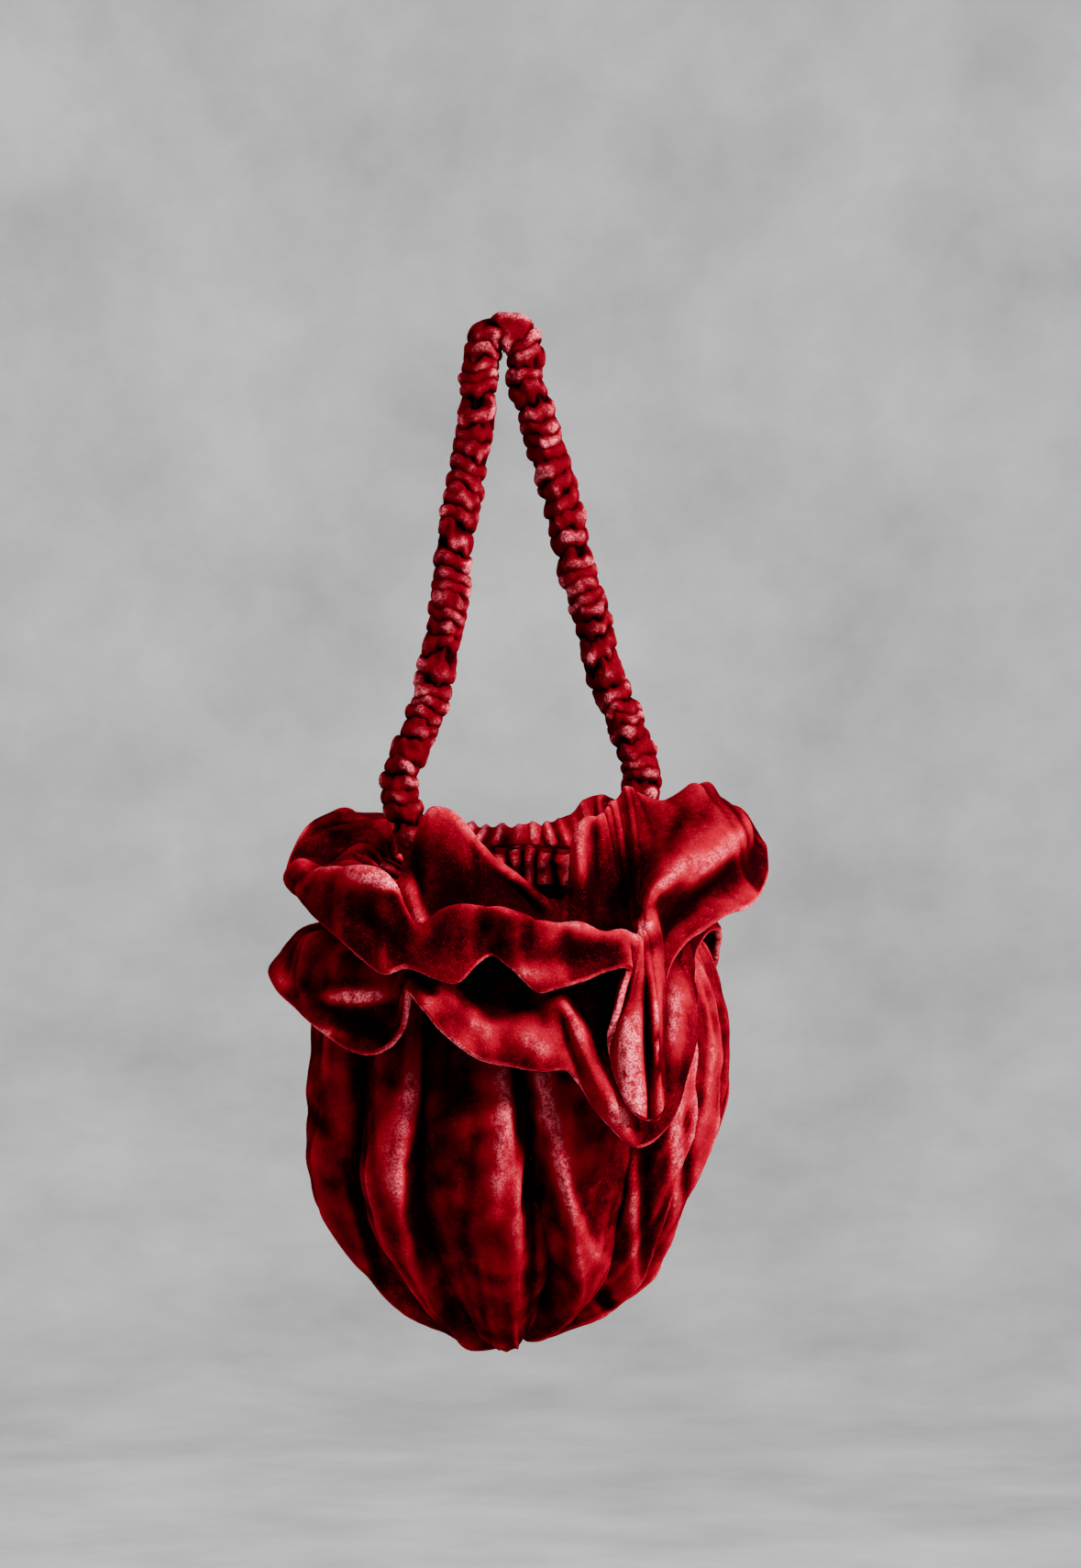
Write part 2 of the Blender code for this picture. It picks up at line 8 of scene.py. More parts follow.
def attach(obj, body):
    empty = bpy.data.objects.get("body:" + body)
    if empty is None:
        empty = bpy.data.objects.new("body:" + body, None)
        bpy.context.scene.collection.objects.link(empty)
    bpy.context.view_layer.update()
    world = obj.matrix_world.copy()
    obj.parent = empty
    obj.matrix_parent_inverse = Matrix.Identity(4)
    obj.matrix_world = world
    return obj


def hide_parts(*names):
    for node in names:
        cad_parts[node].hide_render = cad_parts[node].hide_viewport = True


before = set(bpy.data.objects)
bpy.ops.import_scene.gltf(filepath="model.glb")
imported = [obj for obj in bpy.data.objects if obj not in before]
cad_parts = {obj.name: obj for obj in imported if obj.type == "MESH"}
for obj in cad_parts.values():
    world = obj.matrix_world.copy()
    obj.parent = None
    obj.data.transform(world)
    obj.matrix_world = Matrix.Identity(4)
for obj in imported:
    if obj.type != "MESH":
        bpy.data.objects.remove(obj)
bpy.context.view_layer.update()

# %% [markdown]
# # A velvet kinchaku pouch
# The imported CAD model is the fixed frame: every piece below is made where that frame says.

MM = 0.001
print("frame nodes:", sorted(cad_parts))


def linked(name, data):
    """A new object in the scene that holds the given data."""
    made = bpy.data.objects.new(name, data)
    bpy.context.scene.collection.objects.link(made)
    return made


# %% [markdown]
# ## Camera
# The photograph was taken level with the pouch and from some way off, so its lines hardly
# converge. A long lens two metres away gives that view. The frame is 1179 by 1710 pixels, and
# one pixel at the pouch is 0.442 mm; the crown of the handle lies at a known pixel.

# %% Camera at the photograph's place
PIXEL = 0.442 * MM
PHOTO_WIDTH, PHOTO_HEIGHT = 1179, 1710
CROWN_PIXEL = (553, 388)
CAMERA_DISTANCE = 2.2
SENSOR = 36.0

camera_data = bpy.data.cameras.new("camera")
camera = linked("camera", camera_data)
bpy.context.scene.camera = camera
aim = Vector(((PHOTO_WIDTH / 2 - CROWN_PIXEL[0]) * PIXEL, 0,
              (CROWN_PIXEL[1] - PHOTO_HEIGHT / 2) * PIXEL))
camera.location = aim + Vector((0, -CAMERA_DISTANCE, 0))
camera.rotation_euler = (math.pi / 2, 0, 0)
camera_data.sensor_fit = "VERTICAL"
camera_data.sensor_height = SENSOR
camera_data.sensor_width = SENSOR
camera_data.lens = SENSOR * CAMERA_DISTANCE / (PHOTO_HEIGHT * PIXEL)
camera_data.clip_end = 50
print("lens", round(camera_data.lens, 1), "mm")

# %% [markdown]
# ## Studio
# A hanging object needs a calm place. One turned shell makes floor and wall in one, with a
# wide curve between them, so no corner or horizon crosses the picture from any side. Its paint
# has a faint cloudiness, as a studio wall has.

# %% Cove: floor and wall in one turned shell
FLOOR_DEPTH = 1.0
COVE_RADIUS = 5.0
COVE_BEND = 1.6
COVE_HEIGHT = 3.2
COVE_SIDES = 96
BEND_STEPS = 12


def cove_profile():
    """Radius and height of the cove from the middle of the floor to the top of the wall."""
    line = [(0.02, 0.0), (1.2, 0.0), (COVE_RADIUS - COVE_BEND, 0.0)]
    for step in range(1, BEND_STEPS + 1):
        turn = 0.5 * math.pi * step / BEND_STEPS
        line.append((COVE_RADIUS - COVE_BEND + COVE_BEND * math.sin(turn),
                     COVE_BEND - COVE_BEND * math.cos(turn)))
    line.append((COVE_RADIUS, COVE_HEIGHT))
    return line


def build_cove():
    points, faces = [], []
    profile = cove_profile()
    for radius, height in profile:
        for side in range(COVE_SIDES):
            turn = 2 * math.pi * side / COVE_SIDES
            points.append((radius * math.cos(turn), radius * math.sin(turn), height - FLOOR_DEPTH))
    for row in range(len(profile) - 1):
        for side in range(COVE_SIDES):
            after = (side + 1) % COVE_SIDES
            low, high = row * COVE_SIDES, (row + 1) * COVE_SIDES
            faces.append((low + side, high + side, high + after, low + after))
    faces.append(tuple(range(COVE_SIDES)))
    mesh = bpy.data.meshes.new("cove")
    mesh.from_pydata(points, [], faces)
    mesh.shade_smooth()
    return linked("cove", mesh)


cove = build_cove()

# %% Paint of the cove
paint = bpy.data.materials.new("cove_paint")
paint.use_nodes = True
nodes, links = paint.node_tree.nodes, paint.node_tree.links
shader = nodes["Principled BSDF"]
shader.inputs["Roughness"].default_value = 0.95
shader.inputs["Specular IOR Level"].default_value = 0.1
place = nodes.new("ShaderNodeTexCoord")
clouds = nodes.new("ShaderNodeTexNoise")
clouds.inputs["Scale"].default_value = 3.2
clouds.inputs["Detail"].default_value = 7
clouds.inputs["Roughness"].default_value = 0.62
tones = nodes.new("ShaderNodeValToRGB")
tones.color_ramp.elements[0].position = 0.32
tones.color_ramp.elements[0].color = (0.56, 0.56, 0.565, 1)
tones.color_ramp.elements[1].position = 0.68
tones.color_ramp.elements[1].color = (0.88, 0.88, 0.885, 1)
links.new(place.outputs["Object"], clouds.inputs["Vector"])
links.new(clouds.outputs["Fac"], tones.inputs["Fac"])
links.new(tones.outputs["Color"], shader.inputs["Base Color"])
cove.data.materials.append(paint)

# %% [markdown]
# ## Light
# Velvet shows by contrast: pile that faces us is dark, and pile seen along the cloth is pale.
# So one small strong lamp stands close by on the right, a little above the pouch. Tall ones
# graze its sides to draw pale edges, and weak ones fill the front and the back. Two wide ones
# wash the wall before and behind. The sky is kept low, so that the hollows stay nearly black.


# %% Soft lights
MIDDLE = (0, 0, -0.28)


def soft_light(name, place, size, energy, aim_at=MIDDLE):
    """A square area light that looks at the middle of the pouch, or at another place."""
    data = bpy.data.lights.new(name, "AREA")
    data.shape = "RECTANGLE"
    data.size, data.size_y = size
    data.energy = energy
    lamp = linked(name, data)
    lamp.location = place
    way = Vector(aim_at) - Vector(place)
    lamp.rotation_euler = way.to_track_quat("-Z", "Y").to_euler()


soft_light("key", (0.92, -0.60, 0.26), (0.22, 0.22), 68)
soft_light("front fill", (-1.0, -1.7, 0.1), (0.9, 0.9), 2)
soft_light("back fill", (0.7, 1.3, 0.35), (0.7, 0.7), 9)
soft_light("right edge", (1.3, 0.45, 0.1), (0.35, 1.2), 12)
soft_light("left edge", (-1.25, 0.0, 0.3), (0.3, 0.9), 14)
soft_light("overhead", (-0.1, -0.50, 0.75), (0.25, 0.25), 12)
soft_light("wall wash", (0.0, 1.6, 1.3), (2.4, 0.8), 62, (0, 5.0, -0.2))
soft_light("wall wash behind", (0.0, -2.6, 1.5), (2.4, 0.8), 7, (0, -5.0, 0.2))
world = bpy.data.worlds.new("studio")
bpy.context.scene.world = world
world.use_nodes = True
world.node_tree.nodes["Background"].inputs["Color"].default_value = (0.8, 0.82, 0.85, 1)
world.node_tree.nodes["Background"].inputs["Strength"].default_value = 0.03

# %% [markdown]
# ## Velvet
# The pouch is silk velvet. Its pile is crushed in patches: where it lies over, the cloth is lighter, and
# where it stands, nearly black-red. Light and shade are also painted by the folds: a pale pink highlight
# on crests and hems, a lighter red on swells, and near-black shade in creases. One group of nodes makes
# these masks for every velvet piece. It reads Object coordinates for the patches, and a "fold" attribute,
# which is measured on each mesh below: 1 or more on a sharp crest, -1 in a crease. Listed places of
# painted highlight and painted shade are added to that attribute.


# %% Helpers for node trees
def socket(tree, name, kind, value=None, way="INPUT"):
    """Adds a named socket to a node group."""
    made = tree.interface.new_socket(name=name, in_out=way, socket_type="NodeSocket" + kind)
    if value is not None:
        made.default_value = value
    return made


def add_node(tree, kind, settings=None, **values):
    """Adds a node, sets its properties, and feeds its inputs from numbers or other sockets."""
    node = tree.nodes.new(kind)
    for key, value in (settings or {}).items():
        setattr(node, key, value)
    for key, value in values.items():
        feed(tree, node, key.replace("_", " "), value)
    return node


def feed(tree, node, key, value):
    """Links a socket to an input, or sets the input's own value."""
    target = node.inputs[int(key[1:]) if key[0] == "i" and key[1:].isdigit() else key]
    if isinstance(value, bpy.types.NodeSocket):
        tree.links.new(value, target)
    else:
        target.default_value = value


def math_node(tree, operation, first, second=0.0, third=0.0, clamp=False):
    """A Math node: its result socket."""
    node = add_node(tree, "ShaderNodeMath", {"operation": operation, "use_clamp": clamp},
                    i0=first, i1=second, i2=third)
    return node.outputs[0]


def times(tree, first, second):
    return math_node(tree, "MULTIPLY", first, second)


def plus(tree, first, second, clamp=False):
    return math_node(tree, "ADD", first, second, clamp=clamp)


def mixed_colour(tree, share, first, second):
    """A Mix node for colours: its result socket."""
    return add_node(tree, "ShaderNodeMix", {"data_type": "RGBA"}, i0=share, i6=first,
                    i7=second).outputs[2]


def mapped(tree, value, low, high, to_low=0.0, to_high=1.0):
    """A Map Range node: carries low..high smoothly to to_low..to_high."""
    node = add_node(tree, "ShaderNodeMapRange", {"interpolation_type": "SMOOTHSTEP"},
                    i0=value, i1=low, i2=high, i3=to_low, i4=to_high)
    return node.outputs[0]


# %% Group: crushed pile
def crushed_pile_group():
    """Masks of crushed velvet: how far the pile lies over, with a painted lighter red on swells and
    painted shade in hollows; a painted highlight on crests; painted shade in creases; and the height for
    the bump."""
    tree = bpy.data.node_groups.new("crushed pile", "ShaderNodeTree")
    for name, value in (("Fold", 0.0), ("Patch Scale", 62.0), ("Grain Scale", 1000.0)):
        socket(tree, name, "Float", value)
    for name in ("Nap", "Opened", "Shut", "Height"):
        socket(tree, name, "Float", way="OUTPUT")
    given = tree.nodes.new("NodeGroupInput").outputs
    result = tree.nodes.new("NodeGroupOutput")
    place = tree.nodes.new("ShaderNodeTexCoord").outputs["Object"]
    drawn = add_node(tree, "ShaderNodeVectorMath", {"operation": "MULTIPLY"}, i0=place,
                     i1=(1.0, 1.0, 0.75)).outputs[0]
    patches = add_node(tree, "ShaderNodeTexNoise", Vector=drawn, Scale=given["Patch Scale"],
                       Detail=4.0, Roughness=0.55, Distortion=0.6).outputs[0]
    flecks = add_node(tree, "ShaderNodeTexNoise", Vector=place, Scale=240.0, Detail=3.0,
                      Roughness=0.6).outputs[0]
    grain = add_node(tree, "ShaderNodeTexNoise", Vector=place, Scale=given["Grain Scale"],
                     Detail=2.0, Roughness=0.7).outputs[0]
    mixed = plus(tree, times(tree, patches, 0.62), times(tree, flecks, 0.38))
    nap = mapped(tree, mixed, 0.32, 0.68)
    # Painted light and shade: lighter on swells, darker in hollows, from the fold measure.
    swell = mapped(tree, given["Fold"], -0.2, 0.95)
    speck = mapped(tree, grain, 0.52, 0.74)
    # Painted highlight on crests, broken into tufts by the grain.
    crest = mapped(tree, given["Fold"], 0.7, 1.6)
    tufts = times(tree, mapped(tree, flecks, 0.34, 0.62, 0.12, 1.15),
                  mapped(tree, grain, 0.38, 0.62, 0.15, 1.4))
    nap_and_painted_swell = plus(tree, times(tree, nap, 0.23), times(tree, swell, 0.66))
    whole = plus(tree, nap_and_painted_swell, math_node(tree, "MULTIPLY_ADD", speck, 0.28, -0.09), clamp=True)
    # Outputs: the nap with painted swell light and hollow shade, a painted crest highlight, and painted
    # crease shade.
    feed(tree, result, "Nap", math_node(tree, "POWER", whole, 1.4))
    feed(tree, result, "Opened", times(tree, crest, tufts))
    feed(tree, result, "Shut", mapped(tree, given["Fold"], 0.1, -0.8))
    feed(tree, result, "Height", plus(tree, times(tree, flecks, 0.5), times(tree, grain, 0.5)))
    return tree


PILE = crushed_pile_group()


# %% Velvet material
STANDING_ROUGHNESS, LYING_ROUGHNESS = 0.72, 0.5


def velvet(name, deep, full, pale, sheen, opened=0.8):
    """Crushed velvet from three colours: deep red for standing pile and for painted shade in creases,
    full red for lying pile and painted light on swells, and pale pink painted as a highlight on crests
    and hems.
    """
    material = bpy.data.materials.new(name)
    material.use_nodes = True
    tree = material.node_tree
    shader = tree.nodes["Principled BSDF"]
    fold = add_node(tree, "ShaderNodeAttribute", {"attribute_name": "fold"}).outputs["Fac"]
    pile = add_node(tree, "ShaderNodeGroup", {"node_tree": PILE}, Fold=fold).outputs
    # Standing pile to lying pile by the nap patches, with painted light on swells and painted shade in
    # hollows.
    body = mixed_colour(tree, pile["Nap"], (*deep, 1), (*full, 1))
    # Painted shade in creases: a darker copy of the deep red.
    shaded = mixed_colour(tree, times(tree, pile["Shut"], 0.9), body,
                          (*[0.35 * v for v in deep], 1))
    # Painted highlight: the pale colour laid on crests and hems.
    colour = mixed_colour(tree, times(tree, pile["Opened"], opened), shaded, (*pale, 1))
    feed(tree, shader, "Base Color", colour)
    feed(tree, shader, "Roughness",
         mapped(tree, pile["Nap"], 0.0, 1.0, STANDING_ROUGHNESS, LYING_ROUGHNESS))
    bump = add_node(tree, "ShaderNodeBump", Strength=0.6, Distance=0.0011, Height=pile["Height"])
    feed(tree, shader, "Normal", bump.outputs[0])
    feed(tree, shader, "Sheen Weight", sheen)
    feed(tree, shader, "Sheen Roughness", 0.28)
    feed(tree, shader, "Sheen Tint", (1.0, 0.05, 0.075, 1))
    feed(tree, shader, "Specular IOR Level", 0.0)
    return material


# Deep red of standing pile and painted shade; full red of lying pile and painted swell light; pale pink
# of the painted highlight.
DEEP = (0.007, 0.0, 0.0005)
FULL = (0.34, 0.0006, 0.015)
PAINTED_HIGHLIGHT = (0.78, 0.115, 0.16)
BODY_VELVET = velvet("body_velvet", DEEP, FULL, PAINTED_HIGHLIGHT, 0.035, opened=0.42)
UPPER_VELVET = velvet("upper_velvet", DEEP, FULL, PAINTED_HIGHLIGHT, 0.045)
LOWER_VELVET = velvet("lower_velvet", DEEP, FULL, PAINTED_HIGHLIGHT, 0.045)
SLEEVE_VELVET = velvet("sleeve_velvet", DEEP, [0.36 * v for v in FULL], PAINTED_HIGHLIGHT, 0.045, opened=0.5)
CASING_VELVET = velvet("casing_velvet", DEEP, FULL, PAINTED_HIGHLIGHT, 0.08)
print("velvets:", [m.name for m in bpy.data.materials if "velvet" in m.name])

# %% [markdown]
# ## Sheets of cloth as grids
# Each gathered piece is a grid of points: rows run from its seam to its free edge and columns
# run round the neck. The same few helpers give the grid a wall with a soft rounded edge, measure
# where it is folded, and make a mesh that faces outwards.


# %% Smooth lines through guide points
def closed_curve(points, angles):
    """Smooth closed line through (angle, x, y, z) points, read at the given angles."""
    table = np.array(points, dtype=float)
    knots, values = table[:, 0], table[:, 1:]
    wide = np.concatenate([knots[-2:] - 360, knots, knots[:2] + 360])
    wrapped = np.concatenate([values[-2:], values, values[:2]])
    slopes = np.zeros_like(wrapped)
    slopes[1:-1] = (wrapped[2:] - wrapped[:-2]) / (wide[2:] - wide[:-2])[:, None]
    at = (np.asarray(angles) - knots[0]) % 360 + knots[0]
    spot = np.clip(np.searchsorted(wide, at, side="right") - 1, 0, len(wide) - 2)
    width = (wide[spot + 1] - wide[spot])[:, None]
    t = (at - wide[spot])[:, None] / width
    return hermite(wrapped[spot], wrapped[spot + 1], slopes[spot], slopes[spot + 1], width, t)


def hermite(start, end, start_slope, end_slope, width, t):
    """Cubic between two points with given slopes."""
    line = (2 * t**3 - 3 * t**2 + 1) * start + (3 * t**2 - 2 * t**3) * end
    return line + ((t**3 - 2 * t**2 + t) * start_slope + (t**3 - t**2) * end_slope) * width


def through_lines(lines, shares):
    """Rows of a surface that passes smoothly through lines of points, seam to free edge."""
    lines = np.array(lines)
    steps = np.linalg.norm(np.diff(lines, axis=0), axis=2).mean(axis=1)
    knots = np.concatenate([[0], np.cumsum(steps)]) / steps.sum()
    slopes = np.zeros_like(lines)
    for index in range(len(lines)):
        low, high = max(index - 1, 0), min(index + 1, len(lines) - 1)
        slopes[index] = (lines[high] - lines[low]) / (knots[high] - knots[low])
    rows = []
    for share in shares:
        spot = min(np.searchsorted(knots, share, side="right") - 1, len(lines) - 2)
        width = knots[spot + 1] - knots[spot]
        t = (share - knots[spot]) / width
        rows.append(hermite(lines[spot], lines[spot + 1], slopes[spot], slopes[spot + 1],
                            width, t))
    return np.array(rows)


def even_angles(guide, count):
    """Angles that divide a guide line into runs of about the same length."""
    fine = np.linspace(guide[0][0], guide[0][0] + 360, 2881)
    line = closed_curve(guide, fine)
    step = np.linalg.norm(np.diff(line, axis=0), axis=1) + 0.25
    travelled = np.concatenate([[0], np.cumsum(step)])
    return np.interp(np.linspace(0, travelled[-1], count, endpoint=False), travelled, fine)


# %% Normals, folds and walls of a grid
def grid_normals(grid):
    """Unit normals of a grid whose columns close into a ring."""
    along = np.roll(grid, -1, axis=1) - np.roll(grid, 1, axis=1)
    down = np.gradient(grid, axis=0)
    normals = np.cross(along, down)
    return normals / np.maximum(np.linalg.norm(normals, axis=2), 1e-12)[:, :, None]


def smoothed(field, rounds):
    """Averages a grid with its neighbours, some number of times."""
    for _ in range(rounds):
        beside = 0.25 * (np.roll(field, 1, axis=1) + np.roll(field, -1, axis=1)) + 0.5 * field
        padded = np.concatenate([beside[:1], beside, beside[-1:]])
        field = 0.25 * (padded[:-2] + padded[2:]) + 0.5 * beside
    return field


def fold_measure(grid, normals, wide=6.0 * MM, fine=1.0 * MM):
    """How sharply the grid is folded, seen from the normals: 1 or more on a crest, -1 in a crease.
    Broad folds and fine ones are measured apart and added."""
    broad = ((grid - smoothed(grid, 50)) * normals).sum(axis=2) / wide
    small = ((grid - smoothed(grid, 6)) * normals).sum(axis=2) / fine
    return np.clip(0.6 * broad + 0.6 * small, -1, 1.6)


def rolled_wall(grid, thick, hem_steps=5, hem_swell=1.15):
    """Two faces of cloth round a middle grid, with a rounded free edge at its last row. Gives rows of
    points that close into a loop, and the fold measure of each, raised along the rounded edge so that a
    highlight is painted on the hem."""
    normals = grid_normals(grid)
    rows = len(grid)
    swell = np.ones(rows)
    swell[-5:] = np.linspace(1, hem_swell, 5)
    half = (0.5 * thick * swell)[:, None, None]
    fold = fold_measure(grid, normals)
    edge = np.gradient(grid, axis=0)[-1]
    edge /= np.maximum(np.linalg.norm(edge, axis=1), 1e-12)[:, None]
    hem, hem_fold = [], []
    for turn in np.linspace(0, math.pi, hem_steps + 2)[1:-1]:
        reach = math.cos(turn) * normals[-1] + math.sin(turn) * edge
        hem.append(grid[-1] + reach * half[-1])
        # The rounded hem is given a raised fold value, so a highlight is painted on it.
        hem_fold.append(np.full(grid.shape[1], 0.4) + 0.5 * fold[-1])
    outer, inner = grid + normals * half, (grid - normals * half)[::-1]
    points = np.concatenate([outer, np.array(hem), inner])
    folds = np.concatenate([fold, np.array(hem_fold), -fold[::-1]])
    # Painted highlight along the hem: the fold measure is raised around its middle row.
    band = np.exp(-((np.arange(len(points)) - rows - 1) / 2.4) ** 2)
    return points, np.clip(folds + band[:, None], -1, 1.6)


# %% A mesh from a grid that closes both ways
def looped_mesh(name, grid, fold, material):
    """Piece from a grid closed along rows and columns, with the fold attribute."""
    rows, columns = grid.shape[:2]
    index = np.arange(rows * columns).reshape(rows, columns)
    after, below = np.roll(index, -1, axis=1), np.roll(index, -1, axis=0)
    corner = np.roll(below, -1, axis=1)
    faces = np.stack([index, after, corner, below], axis=2).reshape(-1, 4)
    points = grid.reshape(-1, 3)
    a, b, c, d = (points[faces[:, k]] for k in range(4))
    volume = ((a * np.cross(b, c)).sum() + (a * np.cross(c, d)).sum()) / 6
    if volume < 0:
        faces = faces[:, ::-1]
    mesh = bpy.data.meshes.new(name)
    mesh.from_pydata(points.tolist(), [], faces.tolist())
    attribute = mesh.attributes.new("fold", "FLOAT", "POINT")
    attribute.data.foreach_set("value", fold.reshape(-1).astype(np.float32))
    mesh.materials.append(material)
    mesh.shade_smooth()
    print(f"{name}: {2 * len(faces)} triangles, {abs(volume) * 1e6:.0f} cm3")
    return linked(name, mesh)


def painted_light_places(points, places, side=-1):
    """Adds painted highlight (amount above 0) or painted shade (amount below 0) to the fold measure at
    listed places: places are (x, z, half width, half height, amount) in mm from the neck's middle, in
    front (side -1) or at the back (side 1)."""
    near = side * points[:, :, 1] > 8 * MM
    x, z = (points[:, :, 0] - NECK[0]) / MM, (points[:, :, 2] - NECK[2]) / MM
    added = np.zeros(x.shape)
    for middle, level, half_width, half_height, amount in places:
        added += amount * np.exp(-((x - middle) / half_width) ** 2 - ((z - level) / half_height) ** 2)
    return added * near


def pressed(points, lines, side=-1):
    """Moves cloth towards the viewer (or away) along drag folds: lines are (x, z, x, z, half
    width, amount) in mm from the neck's middle, from one end of the fold to the other."""
    near = np.clip((side * points[:, :, 1] / MM - 6) / 10, 0, 1)
    x, z = points[:, :, 0] / MM, points[:, :, 2] / MM
    out = np.zeros(x.shape)
    for x0, z0, x1, z1, width, amount in lines:
        run_x, run_z = x1 - x0, z1 - z0
        t = np.clip(((x - x0) * run_x + (z - z0) * run_z) / (run_x**2 + run_z**2), -0.15, 1.15)
        away = np.hypot(x - x0 - t * run_x, z - z0 - t * run_z)
        taper = np.interp(t, [-0.15, 0.2, 0.8, 1.15], [0.3, 1, 1, 0.3])
        out += amount * taper * np.exp(-((away / width) ** 2))
    moved = points.copy()
    moved[:, :, 1] += side * out * near * MM
    return moved


def wave_noise(grid, scale, shift=0.0):
    """Smooth noise at each point of a grid, from -1 to 1."""
    flat = grid.reshape(-1, 3) * scale + shift
    values = np.array([noise.noise(Vector(point)) for point in flat])
    return values.reshape(grid.shape[:2])


def cloth_noise(around, shares, folds, rows, seed):
    """Smooth noise in the cloth's own measure: so many folds round it, so many down it.
    around holds the place of each column, 0 to 1; shares the place of each row."""
    turn = 2 * np.pi * np.asarray(around)
    circle = np.stack([np.cos(turn), np.sin(turn)], axis=1) * folds / (2 * np.pi)
    values = [[noise.noise(Vector((x + seed, y, share * rows + 3.1 * seed))) for x, y in circle]
              for share in shares]
    return np.array(values)


def creased(field, width=0.09):
    """Turns smooth noise into narrow rounded crests along its zero lines."""
    return np.exp(-((field / width) ** 2))


# %% [markdown]
# ## Where the neck is
# The drawn neck is a tilted ellipse, as in the CAD part. Guide points are given in millimetres
# from its middle: x to the right, y away from us, z up.

# %% The neck
NECK = np.array([5.0, 0.0, -246.0]) * MM
NECK_X, NECK_Y = 66 * MM, 46 * MM
NECK_HEIGHT = 16 * MM
NECK_TILT = 0.28
NECK_LEVEL = -12 * MM
BAG_WALL = 2.4 * MM
GAP = 0.3 * MM


def neck_ring(angles, radius_x, radius_y, height):
    """Points of the tilted neck ellipse at a height above the neck's middle."""
    turn = np.radians(angles)
    x, y = radius_x * np.sin(turn), -radius_y * np.cos(turn)
    return np.stack([x, y, height + NECK_LEVEL + NECK_TILT * y], axis=1)


# %% [markdown]
# ## The bag
# One velvet shell, gathered at the neck and drawn together at the foot, falls into deep lobes.
# A cloth simulation would give other lobes at every change, and these lobes are what one knows the pouch
# by. So the shell follows a rule: a side line for each of its four sides, and valleys between lobes. A
# lobe's crest leans to one side and hangs over the valley, as a pressed pleat does. Drag folds, and
# places of painted highlight and painted shade, are tables in millimetres from the neck's middle. Noise
# in the cloth's own measure adds the crumple.

# %% The bag's side lines
# Height, reach to the left, reach to the right, reach to front and back, in millimetres
BAG_SIDES = [
    (-4, 66, 66, 46),
    (-20, 66, 66, 46),
    (-28, 78, 82, 48),
    (-44, 91, 94, 57),
    (-66, 99, 101, 67),
    (-90, 102.5, 103, 77),
    (-118, 104, 100.5, 83),
    (-150, 104.5, 87, 79),
    (-178, 91, 75, 67),
    (-200, 71, 64, 51),
    (-213, 58, 48, 38),
    (-221, 43, 33, 28),
    (-226, 28, 19, 18),
    (-228, 14, 8, 9),
    (-226, 5, 2, 3),
]
# Valleys: angle at the girth, angle at the foot, depth, and where the next lobe's crest is
BAG_VALLEYS = [
    (-92, -98, 0.7, 0.62),
    (-49, -64, 1.0, 0.78),
    (-27.5, -34, 0.85, 0.80),
    (-0.5, 25, 1.6, 0.27),
    (37, 58, 1.05, 0.76),
    (56, 82, 0.85, 0.74),
    (74, 104, 0.8, 0.6),
    (100, 126, 0.9, 0.4),
    (131, 148, 0.9, 0.6),
    (157, 167, 0.8, 0.55),
    (183, 189, 1.0, 0.4),
    (210, 212, 0.8, 0.6),
    (238, 236, 0.9, 0.45),
]
LOBE_DEPTH = 14 * MM
# The widest gap between two lobes, right of the middle
GAP_PLACE, GAP_DEPTH = -3.0, 9 * MM
# The middle lobe hangs lowest
SAG, SAG_PLACE, SAG_WIDTH = 7.5 * MM, -15 * MM, 15 * MM
BAG_ROWS, BAG_COLUMNS = 120, 400
# Drag folds on the bag's front: from x, z to x, z, half width, and how far it stands out
BODY_DRAGS = [
    (-2, -92, -11, -160, 4, 1.5), (-79, -148, -65, -200, 3.5, -2.5), (54, -132, 56, -200, 3, 1.3),
    (60, -128, 61, -196, 3.5, -3), (74, -109, 76, -172, 3, 2), (80, -112, 81, -160, 3, -2.5),
    (40, -204, 45, -212, 4, -4), (-52, -170, -48, -187, 3, 1.5), (11, -96, 16, -118, 3, 1.6),
    (16, -118, 24, -152, 3, 1.8), (24, -152, 36, -180, 3, 1.8), (36, -180, 48, -191, 3, 1.5),
    (-36, -190, -30, -214, 4, -2.5), (-20, -120, -24, -176, 4, -1.2),
]
# Painted highlights (amount above 0) and painted shade (amount below 0) on the bag's front, as (x, z,
# half width, half height, amount)
BODY_PAINTED_LIGHT = [
    (-47, -92, 4, 26, 0.3), (-84, -106, 6, 20, 0.4), (14, -104, 4, 22, 0.35), (24, -138, 6, 22, 0.6),
    (38, -178, 9, 13, 0.55), (78, -124, 4, 26, 0.6), (84, -52, 8, 12, 0.7), (92, -96, 4, 20, 0.5),
    (-8, -130, 10, 46, 0.35), (-60, -140, 10, 24, 0.35), (-30, -196, 22, 12, 0.3), (56, -166, 3, 24, 0.2),
    (-26, -100, 8, 16, -0.5), (2, -130, 4, 40, -0.8), (-72, -100, 5, 30, -0.8), (66, -140, 5, 40, -0.8),
]


def spline_rows(table, count):
    """Reads a table of stations as a smooth line with evenly spaced rows."""
    stations = np.array(table, dtype=float)[:, None, :]
    return through_lines(stations, np.linspace(0, 1, count))[:, 0, :]


